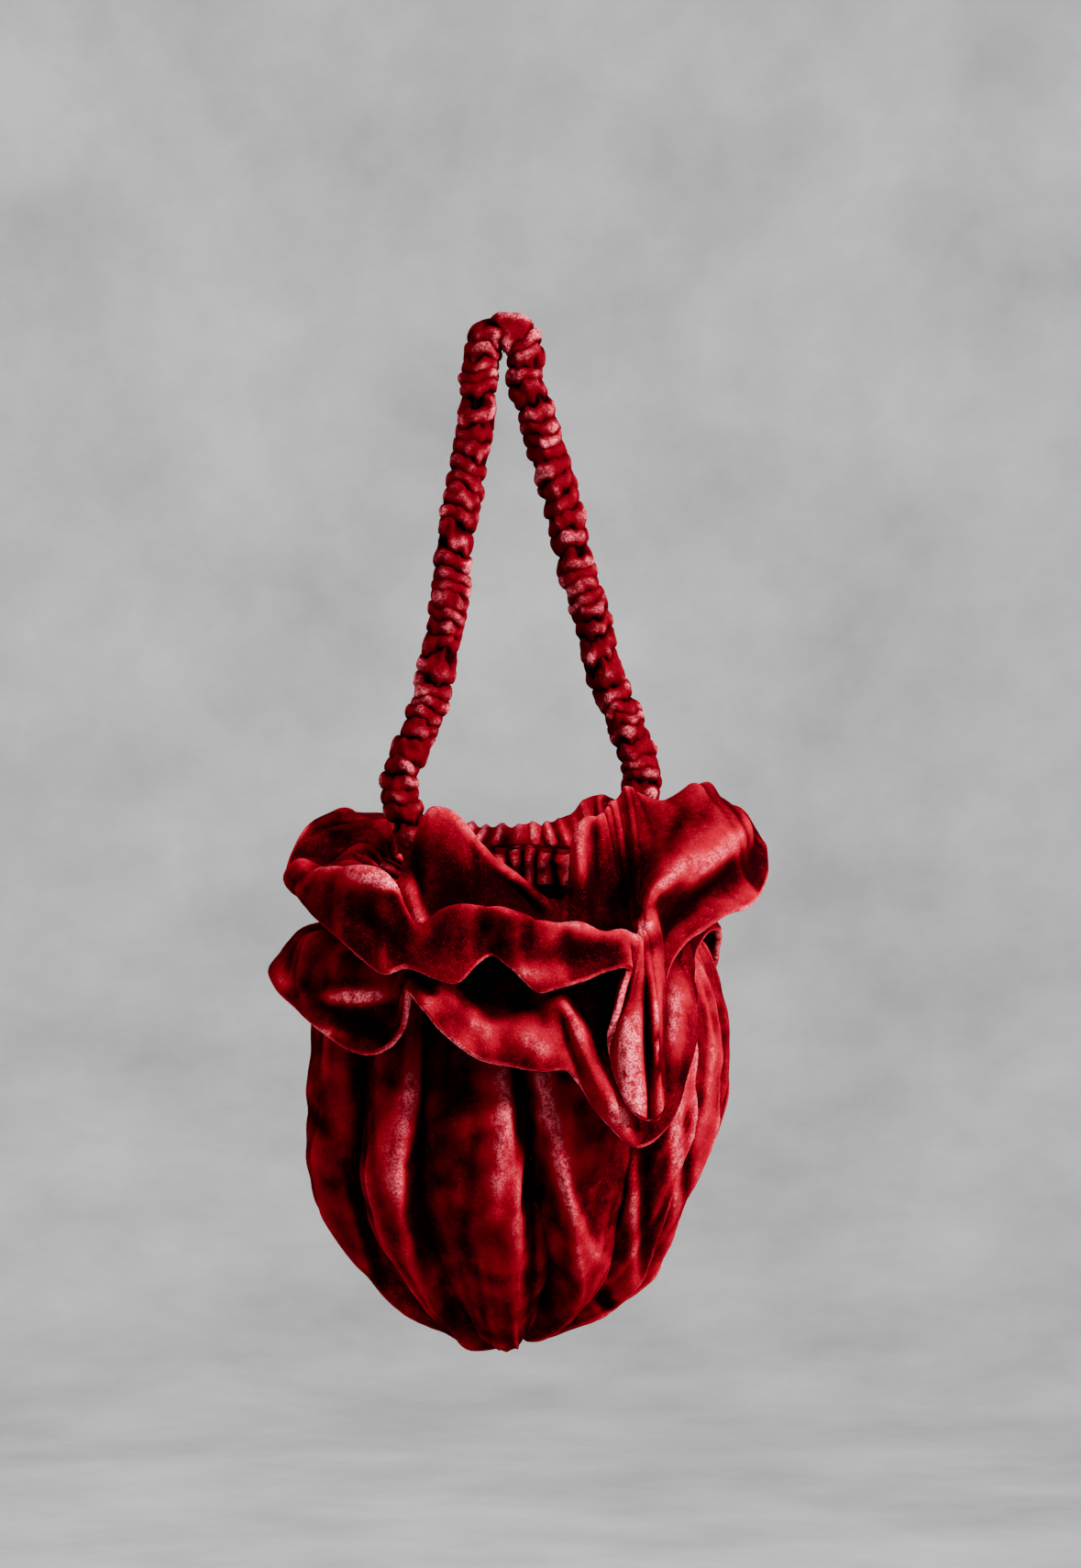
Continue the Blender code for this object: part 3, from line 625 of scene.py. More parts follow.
def lobe_shape(turns, down):
    """Height of the lobes at each angle, 0 in a valley and 1 on a crest, the valley's depth
    there, and how far the crest leans over the next valley."""
    foot = np.clip((down - 0.35) / 0.5, 0, 1)
    starts = np.array([v[0] + (v[1] - v[0]) * foot for v in BAG_VALLEYS])
    deep = np.array([v[2] for v in BAG_VALLEYS])
    crest = np.array([v[3] for v in BAG_VALLEYS])
    edges = np.append(starts, starts[0] + 360)
    at = (turns - starts[0]) % 360 + starts[0]
    spot = np.clip(np.searchsorted(edges, at, side="right") - 1, 0, len(starts) - 1)
    t = (at - edges[spot]) / (edges[spot + 1] - edges[spot])
    c = 0.5 + (crest[spot] - 0.5) * (1 - 0.8 * foot)
    share = np.clip(np.where(t < c, t / c, (1 - t) / (1 - c)), 0, 1)
    height = 0.78 * np.sin(0.5 * np.pi * share) ** 0.7 + 0.22 * share ** 2
    depth = deep[spot] * (1 - t) + deep[(spot + 1) % len(deep)] * t
    lean = np.exp(-(((t - c) / 0.16) ** 2)) * np.sign(c - 0.5) * np.minimum(1, abs(c - 0.5) * 5)
    return height, depth, lean


# %% Build the bag
def bag_grid():
    side = spline_rows(BAG_SIDES, BAG_ROWS) * MM
    mean = 0.25 * (side[:, 1] + side[:, 2] + 2 * side[:, 3])
    run = np.stack([np.gradient(mean), np.gradient(side[:, 0])], axis=1)
    run /= np.linalg.norm(run, axis=1)[:, None]
    outward = np.stack([-run[:, 1], run[:, 0]], axis=1)
    turns = np.linspace(-92, 268, BAG_COLUMNS, endpoint=False)
    rows = []
    for row, (height, left, right, front) in enumerate(side):
        down = row / (BAG_ROWS - 1)
        bump, deep, lean = lobe_shape(turns, down)
        grown = np.interp(down, [0.03, 0.12, 0.3, 0.5, 0.82, 0.94, 1],
                          [0.12, 0.14, 0.6, 1.0, 1.0, 0.5, 0.02])
        inward = (1 - bump) * deep * LOBE_DEPTH * grown
        gap = np.exp(-(((turns - GAP_PLACE - 12 * down) / 5) ** 2))
        inward = inward + gap * np.interp(down, [0.15, 0.3, 0.6, 0.8], [0, 1, 1, 0]) * GAP_DEPTH
        pleat = np.interp(down, [0, 0.08, 0.24], [1, 1, 0])
        ripple = np.sin(np.radians(turns) * 44 + 1.7 * np.sin(np.radians(turns) * 5))
        inward = inward + pleat * 0.9 * MM * (1 - ripple)
        angle = np.radians(turns + 3.4 * lean * grown)
        sine = np.sin(angle)
        x = (np.where(sine > 0, right, left) - outward[row, 0] * inward) * sine
        y = -(front - outward[row, 0] * inward) * np.cos(angle)
        tilt = NECK_TILT * np.interp(down, [0, 0.1, 0.35, 1], [1, 1, 0, 0])
        hang = np.exp(-(((x - SAG_PLACE) / SAG_WIDTH) ** 4)) * np.interp(y, [-16 * MM, 8 * MM], [1, 0])
        hang = hang * np.interp(down, [0.66, 0.86, 1], [0, 1, 1])
        z = height - outward[row, 1] * inward + tilt * y - hang * SAG
        rows.append(np.stack([x, y, z], axis=1))
    return np.array(rows)


bag_middle = bag_grid()
bag_normals = grid_normals(bag_middle)
if (bag_normals[BAG_ROWS // 2] * bag_middle[BAG_ROWS // 2]).sum() < 0:
    bag_normals = -bag_normals
# At the drawn foot the cloth faces straight down
bag_normals[-4:] = (0, 0, -1)
bag_around = np.arange(BAG_COLUMNS) / BAG_COLUMNS
bag_down = np.linspace(0, 1, BAG_ROWS)
slack = np.interp(bag_down, [0, 0.12, 0.3, 0.85, 0.97, 1], [0, 0.4, 1, 1, 0.4, 0])[:, None]
drag_lines = creased(cloth_noise(bag_around, bag_down, 24, 1.3, 1.0))
small_lines = cloth_noise(bag_around, bag_down, 80, 6.0, 6.0)
crush = wave_noise(bag_middle, 42) + 0.5 * wave_noise(bag_middle, 90, shift=7)
relief = 1.2 * drag_lines + 0.6 * small_lines + 1.8 * crush
bag_middle = bag_middle + bag_normals * (relief * slack * MM)[:, :, None]
bag_middle = pressed(bag_middle, BODY_DRAGS)
bag_points = bag_middle + NECK
# The fold measure, with painted highlight and painted shade at the listed places.
bag_fold = fold_measure(bag_middle, bag_normals) + painted_light_places(bag_points, BODY_PAINTED_LIGHT)
bag_loop = np.concatenate([bag_points, (bag_points - bag_normals * 1.6 * MM)[::-1]])
bag = looped_mesh("bag_velvet", bag_loop, np.concatenate([bag_fold, -bag_fold[::-1]]), BODY_VELVET)

# %% [markdown]
# ## The ruffles
# A doubled strip, longer than the neck, is gathered on to it and flops over in big soft folds.
# The folds were chosen one by one: guide lines run round the neck through the first rise, the channel
# behind the lip, the lip, the tuck under it and the hem, and the cloth passes through them all. Fine
# pleats start at the seam and run out towards the hem.

# %% Guide lines of the upper ruffle
UPPER_RISE = [
    (-94, -76, 8, 8), (-80, -80, -14, 2), (-62, -69, -36, -6), (-50, -57, -46, -10),
    (-44, -51, -48, 4), (-38, -45, -49, 20), (-31, -40, -51, 28), (-24, -31, -52, 26),
    (-18, -23, -54, 16), (-11, -14, -56, 4), (-4, -5, -58, -2), (3, 4, -60, -9),
    (10, 13, -61, -17), (16, 19, -58, -24), (21, 24, -50, -14), (26, 27, -44, 6),
    (32, 31, -38, 21), (40, 39, -34, 23), (48, 46, -29, 30), (56, 53, -24, 38),
    (64, 61, -19, 32), (72, 70, -14, 29), (80, 80, -7, 36), (90, 88, 4, 37),
    (100, 80, 18, 31), (112, 64, 29, 26), (126, 48, 40, 28), (140, 36, 47, 30),
    (152, 26, 50, 22), (166, 13, 53, 20), (180, 1, 54, 19), (200, -18, 52, 18),
    (222, -38, 45, 20), (244, -60, 31, 20),
]
UPPER_CHANNEL = [
    (-94, -88, 6, 4), (-80, -93, -18, -4), (-66, -82, -40, -11), (-54, -66, -56, -18),
    (-46, -55, -62, -27), (-38, -46, -67, -32), (-28, -34, -71, -37), (-16, -18, -74, -39),
    (-4, -4, -76, -40), (8, 10, -77, -42), (18, 23, -74, -44), (28, 34, -68, -42),
    (38, 45, -62, -36), (47, 54, -58, -26), (55, 60, -56, -8), (63, 69, -52, 10),
    (72, 80, -45, 23), (82, 94, -28, 31), (94, 98, 2, 33), (108, 80, 28, 28),
    (124, 58, 46, 29), (140, 42, 58, 29), (152, 28, 63, 18), (166, 15, 66, 17),
    (180, 1, 69, 12), (200, -22, 66, 13), (222, -47, 54, 21), (244, -72, 32, 22),
]
UPPER_LIP = [
    (-94, -98, 3, 4), (-82, -103, -22, 1), (-72, -95, -44, -2), (-62, -81, -60, -1),
    (-54, -67, -71, -1), (-48, -57, -76, -7), (-43, -51, -79, -18), (-37, -45, -83, -25),
    (-30, -36, -87, -19), (-22, -26, -90, -17), (-12, -10, -92, -18), (-2, 4, -94, -23),
    (8, 14, -94, -26), (20, 28, -93, -26), (30, 41, -90, -30), (36, 50, -84, -29),
    (43, 58, -84, -32), (50, 58, -82, -28), (55, 61, -79, -15), (61, 68, -76, -7),
    (68, 79, -70, 1), (76, 93, -58, 9), (84, 105, -38, 16), (92, 109, -12, 22),
    (102, 102, 10, 29), (112, 84, 30, 30), (126, 63, 52, 28), (140, 46, 68, 24),
    (152, 30, 74, 10), (166, 16, 78, 12), (180, 1, 82, 6), (200, -26, 78, 8),
    (222, -56, 62, 20), (244, -82, 32, 23),
]
UPPER_TUCK = [
    (-94, -106, 1, 2), (-82, -108, -22, -5), (-70, -98, -48, -12), (-58, -78, -68, -19),
    (-49, -64, -80, -25), (-42, -54, -87, -33), (-34, -42, -93, -37), (-25, -29, -96, -34),
    (-14, -13, -94, -29), (-4, 0, -97, -34), (6, 13, -102, -41), (18, 27, -100, -41),
    (30, 43, -96, -39), (36, 51, -91, -37), (39, 51, -92, -46), (42, 50, -94, -60),
    (45, 51, -99, -74), (47, 56, -98, -72),
    (48.7, 59.5, -92, -70), (50.7, 64, -97, -66), (55, 66, -79, -34), (61, 69, -64, -20),
    (69, 84, -54, -12),
    (78, 100, -40, -5), (87, 111, -16, 4), (97, 110, 6, 18), (108, 98, 25, 28),
    (120, 76, 46, 28), (134, 58, 68, 14), (148, 42, 82, -2), (164, 18, 92, -6),
    (180, 1, 92, -18), (200, -28, 88, -12), (216, -52, 74, -2), (232, -76, 52, 20),
    (248, -90, 28, 23),
]
UPPER_HEM = [
    (-94, -109, 0, 2), (-84, -109, -20, -6), (-76, -102, -40, -14), (-68, -93, -56, -23),
    (-60, -83, -70, -31), (-52, -71, -82, -41), (-45, -61, -91, -47), (-37, -50, -94, -44),
    (-30, -36, -99, -49), (-24, -27, -101, -50), (-18, -18, -98, -42), (-12, -11, -93, -38),
    (-5, -2, -99, -44), (2, 9, -106, -54), (10, 19, -106, -53), (20, 30, -104, -50),
    (30, 43, -99, -45), (36, 52, -97, -45), (39, 49, -98, -58), (42, 43, -95, -82),
    (45, 50, -99, -105), (47, 57, -98, -113), (48.6, 61, -93, -114), (50.2, 66, -99, -112),
    (53, 68, -88, -84),
    (56, 69, -80, -52), (60, 76, -72, -36), (67, 88, -66, -27), (73, 100, -58, -20),
    (78, 109, -46, -17), (84, 117, -26, -8), (90, 119, -8, 2), (97, 116, 10, 15),
    (105, 106, 26, 28), (116, 90, 42, 27), (128, 72, 66, 14), (140, 56, 84, -4),
    (152, 38, 92, -26), (164, 20, 104, -24), (178, 2, 100, -42), (194, -22, 104, -30),
    (208, -44, 88, -32), (222, -68, 76, 0), (234, -82, 50, 24), (248, -94, 30, 22),
    (258, -103, 14, 16),
]

# %% Guide lines of the lower ruffle
LOWER_DROP = [
    (-94, -84, -2, -28), (-74, -78, -28, -32), (-58, -64, -44, -36), (-42, -46, -56, -42),
    (-24, -26, -62, -46), (0, 0, -65, -48), (24, 27, -63, -48), (44, 50, -54, -44),
    (62, 66, -38, -34), (72, 71, -29, -28), (80, 74, -21, -24), (90, 78, -8, -20),
    (100, 78, 10, -18), (120, 70, 36, -16),
    (146, 42, 56, -12), (176, 2, 62, -10), (206, -40, 54, -12), (234, -66, 36, -20),
]
LOWER_SHOULDER = [
    (-94, -102, -4, -32), (-80, -98, -28, -34), (-68, -86, -48, -42), (-58, -74, -60, -48),
    (-50, -62, -70, -50), (-42, -51, -77, -50), (-32, -38, -80, -52), (-20, -23, -82, -58),
    (0, 1, -82, -62), (16, 18, -84, -58), (28, 31, -80, -66), (36, 42, -72, -70),
    (46, 56, -66, -60), (60, 72, -54, -46), (68, 77, -46, -37), (76, 79, -36, -31),
    (84, 83, -24, -26), (92, 88, -6, -23), (100, 87, 12, -22), (120, 82, 44, -26), (146, 47, 72, -28),
    (176, 2, 80, -28), (206, -46, 72, -28), (234, -84, 46, -28),
]
LOWER_RIDGE = [
    (-95, -108, -2, -38), (-84, -107, -20, -46), (-74, -97, -42, -56), (-66, -84, -58, -62),
    (-58, -71, -70, -66), (-51, -58, -76, -66), (-44, -51, -82, -55), (-38, -48, -88, -53),
    (-30, -36, -92, -62), (-20, -20, -94, -72), (-8, -4, -93, -75), (6, 12, -95, -72),
    (15, 22, -98, -68), (23, 29, -100, -78), (31, 39, -98, -96), (38, 48, -90, -104),
    (45, 58, -76, -94), (51, 66, -76, -84), (57, 74, -74, -70), (63, 79, -63, -57),
    (70, 79, -54, -45), (77, 80, -44, -36), (84, 84, -32, -30), (92, 92, -14, -26),
    (100, 92, 10, -27),
    (116, 92, 46, -40), (134, 66, 70, -48), (150, 44, 86, -46), (178, 2, 94, -48),
    (206, -46, 88, -48), (226, -76, 66, -50), (244, -98, 38, -42),
]
LOWER_HEM = [
    (-96, -119, 0, -49), (-86, -114, -16, -58), (-78, -104, -40, -66), (-70, -92, -58, -75),
    (-62, -78, -72, -83), (-55, -65, -78, -84), (-49, -54, -84, -74), (-44, -51, -86, -60),
    (-39, -50, -90, -55), (-34, -43, -96, -64), (-26, -30, -100, -76), (-18, -16, -100, -86),
    (-8, -3, -98, -89), (4, 11, -100, -91), (14, 23, -98, -91), (22, 29, -96, -98),
    (32, 42, -94, -116), (42, 56, -90, -127), (52, 70, -84, -118), (60, 77, -76, -101),
    (66, 83, -67, -79), (72, 84, -59, -60), (78, 83, -50, -45), (84, 86, -39, -36),
    (91, 92, -22, -30), (100, 97, 8, -32), (110, 96, 34, -48), (120, 90, 58, -56),
    (134, 68, 76, -68), (148, 50, 96, -60), (162, 26, 94, -76), (178, 2, 104, -64),
    (194, -24, 94, -76), (210, -52, 94, -60), (226, -76, 72, -70), (242, -98, 46, -56),
    (252, -108, 24, -52),
]


# %% Build the ruffles
def gather_wave(turns, shares, pleats, seed):
    """Pleats of uneven width and depth round the neck, from about -1 to 1."""
    around = np.asarray(turns) / 360
    wander = cloth_noise(around, shares, 9, 1.1, seed)
    depth = np.clip(0.7 + 1.4 * cloth_noise(around, shares, 19, 1.0, seed + 5), 0.1, 1.5)
    phase = pleats * np.radians(turns)[None] + 6.0 * wander
    return (2 * np.abs(np.sin(0.5 * phase)) ** 0.7 - 1.2) * depth


def ruffle_grid(guides, seam, columns, rows, pleats, seed, drags):
    """Cloth from its seam through guide lines to its hem, with gathers that fade outwards."""
    angles = even_angles(guides[-1], columns)
    lines = [seam(angles)] + [closed_curve(guide, angles) * MM for guide in guides]
    shares = np.linspace(0, 1, rows) ** 0.92
    grid = through_lines(lines, shares)
    grid[1:-1] = 0.5 * grid[1:-1] + 0.25 * (grid[:-2] + grid[2:])
    normals = grid_normals(grid)
    around = np.arange(columns) / columns
    gathers = gather_wave(angles, shares, pleats, seed)
    creases = creased(cloth_noise(around, shares, 20, 1.4, seed + 3), 0.15)
    tucks = creased(cloth_noise(around, shares, 20, 1.4, seed + 6), 0.15)
    small = cloth_noise(around, shares, 90, 5.0, seed + 9)
    soft = wave_noise(grid, 42, shift=seed + 12)
    fade = np.interp(shares, [0, 0.05, 0.14, 0.26, 1], [0.1, 1, 0.35, 0.03, 0.0])[:, None]
    keep = np.interp(shares, [0, 0.2, 0.9, 1], [0, 1, 1, 0.8])[:, None]
    behind = np.exp(-(((angles - 178) / 56) ** 4))[None]
    gathers = gathers * fade + 1.3 * behind * gathers * np.interp(
        shares, [0, 0.07, 0.3, 0.42], [0, 1, 1, 0])[:, None]
    offset = (1.1 * gathers + (1.0 * (creases - tucks) + 0.3 * small + 2.4 * soft) * keep) * MM
    return pressed(grid + normals * offset[:, :, None], drags) + NECK


# Drag folds on the front of the ruffles: from x, z to x, z, half width, how far they stand out
UPPER_DRAGS = [
    (-24, 20, -6, 0, 3.5, 2.5), (-6, 0, 16, -18, 3.5, 2.5), (-2, -8, 12, -24, 4, -4),
    (-48, 11, -44, -13, 3, -3), (29, 22, 31, -10, 3, 3), (36, 20, 37, -6, 2.5, -4),
    (104, 15, 57, -29, 3, 2.5), (100, 2, 66, -32, 3.5, -3.5), (-15, -22, -17, -40, 4, -3),
    (-2, -24, 4, -50, 5, 2), (-77, -2, -53, -9, 4, 2.5), (-53, -9, -44, -27, 4, 2.5),
    (-73, -18, -51, -42, 5, -2.5), (78, 24, 70, 2, 4, -2), (22, -27, 26, -48, 4, -1.5),
]
LOWER_DRAGS = [
    (-88, -61, -61, -58, 3.5, 3.2), (-78, -70, -60, -76, 5, -6), (-54, -50, -42, -66, 3, -2.5),
    (25, -53, 54, -125, 4, 3), (19, -62, 33, -98, 4, -2.5), (-20, -58, -2, -82, 5, -2),
    (-104, -52, -84, -70, 4, -2.5), (-28, -66, 14, -80, 9, 5),
]
# Painted highlights (amount above 0) and painted shade in hollows (amount below 0) on the ruffles, in
# front and at the back
UPPER_PAINTED_LIGHT = [
    (50, -88, 8, 22, 1.0), (57, -104, 6, 8, 0.7), (66, -64, 3, 22, 0.6), (70, 3, 16, 14, 0.3),
    (62, -28, 14, 5, 0.5), (-64, -6, 16, 4, 0.6), (4, -48, 16, 5, 1.0), (-45, -20, 5, 16, 0.4),
    (106, -12, 10, 8, 0.6), (24, -8, 5, 14, 0.4), (-8, 14, 6, 12, -0.7), (6, -16, 9, 10, -0.9),
    (-30, -14, 12, 8, -0.6), (34, -36, 14, 5, -0.5), (-96, 6, 8, 10, 0.3),
]
BACK_PAINTED_LIGHT = [(-20, 16, 12, 8, 0.7), (6, 14, 12, 8, 0.8), (32, 16, 10, 10, 0.8)]
LOWER_PAINTED_LIGHT = [
    (-76, -60, 16, 3, 0.8), (-70, -73, 9, 6, -1.4), (-90, -77, 10, 3, 1.0), (-112, -54, 5, 6, 1.0),
    (28, -98, 8, 14, 0.8), (46, -116, 8, 8, 0.9), (-6, -74, 24, 8, 0.5), (-42, -62, 8, 6, 0.5),
    (72, -70, 4, 20, 0.5), (14, -84, 14, 5, 0.5), (-20, -80, 12, 6, 0.5),
]
RUFFLE_THICK = 3.0 * MM
half_wall = 0.5 * RUFFLE_THICK


def upper_seam(angles):
    return neck_ring(angles, NECK_X, NECK_Y, 0.5 * NECK_HEIGHT + GAP)


def lower_seam(angles):
    return neck_ring(angles, NECK_X + GAP + half_wall, NECK_Y + GAP + half_wall, 0)


upper_guides = [UPPER_RISE, UPPER_CHANNEL, UPPER_LIP, UPPER_TUCK, UPPER_HEM]
upper_grid = ruffle_grid(upper_guides, upper_seam, 520, 60, 46, 1.0, UPPER_DRAGS)
upper_points, upper_fold = rolled_wall(upper_grid, RUFFLE_THICK)
# Painted highlight and painted shade at listed places, in front and at the back.
upper_fold = upper_fold + painted_light_places(upper_points, UPPER_PAINTED_LIGHT)
upper_fold = upper_fold + painted_light_places(upper_points, BACK_PAINTED_LIGHT, 1)
upper = looped_mesh("upper_ruffle_velvet", upper_points, upper_fold, UPPER_VELVET)
lower_guides = [LOWER_DROP, LOWER_SHOULDER, LOWER_RIDGE, LOWER_HEM]
lower_grid = ruffle_grid(lower_guides, lower_seam, 480, 44, 40, 4.0, LOWER_DRAGS)
lower_points, lower_fold = rolled_wall(lower_grid, RUFFLE_THICK)
# Painted highlight and painted shade at listed places.
lower_fold = lower_fold + painted_light_places(lower_points, LOWER_PAINTED_LIGHT)
lower = looped_mesh("lower_ruffle_velvet", lower_points, lower_fold, LOWER_VELVET)

# %% [markdown]
# ## The casing
# Inside the neck a narrow strip covers the elastic, drawn into fine gathers. It shows at the
# back rim. It is a band whose radius rises and falls, with no two gathers alike, and whose top
# spreads out to the seam of the upper ruffle.

# %% Build the casing
NECK_PLEAT = 2.0 * MM
ELASTIC_THICK = 1.6 * MM
ELASTIC_CLEARANCE = BAG_WALL + NECK_PLEAT + GAP
CASING_CLEARANCE = ELASTIC_CLEARANCE + ELASTIC_THICK + GAP
CASING_CLOTH = 1.4 * MM
CASING_GATHERS = 36
CASING_ROWS = 16
CASING_FLARE = 1.05


def casing_loop(columns=672):
    """Rows of a thin gathered band: down its outside, up its inside."""
    turns = np.linspace(0, 360, columns, endpoint=False)
    place = turns / 360
    phase = np.radians(turns) * CASING_GATHERS + 7 * cloth_noise(place, [0], 12, 1, 2.0)[0]
    lean = 2.5 * cloth_noise(place, [0], 30, 1, 5.0)[0]
    deep = np.clip(2.2 + 2.6 * cloth_noise(place, [0], 26, 1, 8.0)[0], 0.8, 3.4) * MM
    uneven = 9 * MM * cloth_noise(place, [0], 26, 1, 14.0)[0]
    rows, folds = [], []
    levels = np.linspace(0.62, -0.5, CASING_ROWS)
    crumple = 2.0 * cloth_noise(place, np.linspace(0, 1, CASING_ROWS), 60, 3, 11.0)
    outside = [(0, row) for row in range(CASING_ROWS)]
    inside = [(1, row) for row in reversed(range(CASING_ROWS))]
    for side, row in outside + inside:
        level = levels[row]
        crest = np.abs(np.cos(0.5 * phase + 0.9 * level * lean)) ** 0.6
        away = CASING_CLEARANCE + side * CASING_CLOTH + crest * deep + crumple[row] * MM
        flare = np.interp(level, [0.34, 0.62], [0, 1]) ** 1.5
        away = away * (1 - CASING_FLARE * flare)
        height = level * NECK_HEIGHT + uneven * max(level, 0)
        rows.append(neck_ring(turns, NECK_X - away, NECK_Y - away, height))
        # Painted highlight on the crests of the gathers and painted shade between them, through the fold
        # attribute.
        folds.append((crest - 0.55) * 2.4)
    return np.array(rows) + NECK, np.array(folds)


casing_points, casing_fold = casing_loop()
casing = looped_mesh("casing_velvet", casing_points, casing_fold, CASING_VELVET)

# %% [markdown]
# ## The handle
# A velvet tube was pushed up on a round elastic until it stood in small fat folds. That follows
# a rule along a path, so Geometry Nodes make it: the route is resampled, a ring is swept along
# it, and each point is moved out by a row of rounded crests with sharp creases between. The
# crests lean, drift and swell by noise, so that no two are alike.

# %% Route of the handle
HANDLE_ROUTE = [
    (-52, 0, -210), (-47, 1, -192), (-42, 1, -179), (-37, 1, -168), (-33, 1, -146),
    (-28, 1, -120), (-26, 0, -96), (-21, 0, -66), (-17, 0, -44), (-14, 0, -22), (-13, 0, -2),
    (-9, 0, 9), (-2, 0, 11), (5, 0, 9), (9, 0, 1), (9, 0, -13), (15, 0, -31), (21, 0, -51),
    (27, 0, -72), (33, 0, -101), (40, 0, -122), (46, 1, -150), (54, 1, -169), (61, 1, -188),
    (65, 0, -209),
]
SLEEVE_RADIUS = 8.3 * MM
RUCHE_DEPTH = 2.1 * MM
CASING_THICK = 1.8 * MM
GATHER_DEPTH = 1.6 * MM
casing_inside = CASING_CLEARANCE + CASING_THICK + GATHER_DEPTH + GAP
seat = NECK_X - casing_inside - SLEEVE_RADIUS - RUCHE_DEPTH
neck_middle = NECK[2] + NECK_LEVEL
low_end, high_end = neck_middle - 0.4 * NECK_HEIGHT, neck_middle + 0.8 * NECK_HEIGHT
route_points = [(NECK[0] - seat, 0, low_end), (NECK[0] - seat, 0, high_end)]
route_points += [tuple(v * MM for v in point) for point in HANDLE_ROUTE]
route_points += [(NECK[0] + seat, 0, high_end), (NECK[0] + seat, 0, low_end)]

route_curve = bpy.data.curves.new("handle_route", "CURVE")
route_curve.dimensions = "3D"
route_line = route_curve.splines.new("POLY")
smooth_points = []
for index in range(len(route_points) - 1):
    before = np.array(route_points[max(index - 1, 0)])
    start, end = np.array(route_points[index]), np.array(route_points[index + 1])
    past = np.array(route_points[min(index + 2, len(route_points) - 1)])
    for t in np.linspace(0, 1, 12, endpoint=False):
        smooth_points.append(hermite(start, end, 0.5 * (end - before), 0.5 * (past - start), 1, t))
smooth_points.append(np.array(route_points[-1]))
route_line.points.add(len(smooth_points) - 1)
for point, spot in zip(route_line.points, smooth_points):
    point.co = (*spot, 1)
route = linked("handle_route", route_curve)
print("route points:", len(smooth_points))


# %% The tree that makes the ruched sleeve
def vector_node(tree, operation, first, second=(0, 0, 0), scale=1.0):
    """A Vector Math node: its vector result."""
    node = add_node(tree, "ShaderNodeVectorMath", {"operation": operation}, i0=first)
    if operation == "SCALE":
        feed(tree, node, "Scale", scale)
    else:
        feed(tree, node, "i1", second)
    return node.outputs[0]


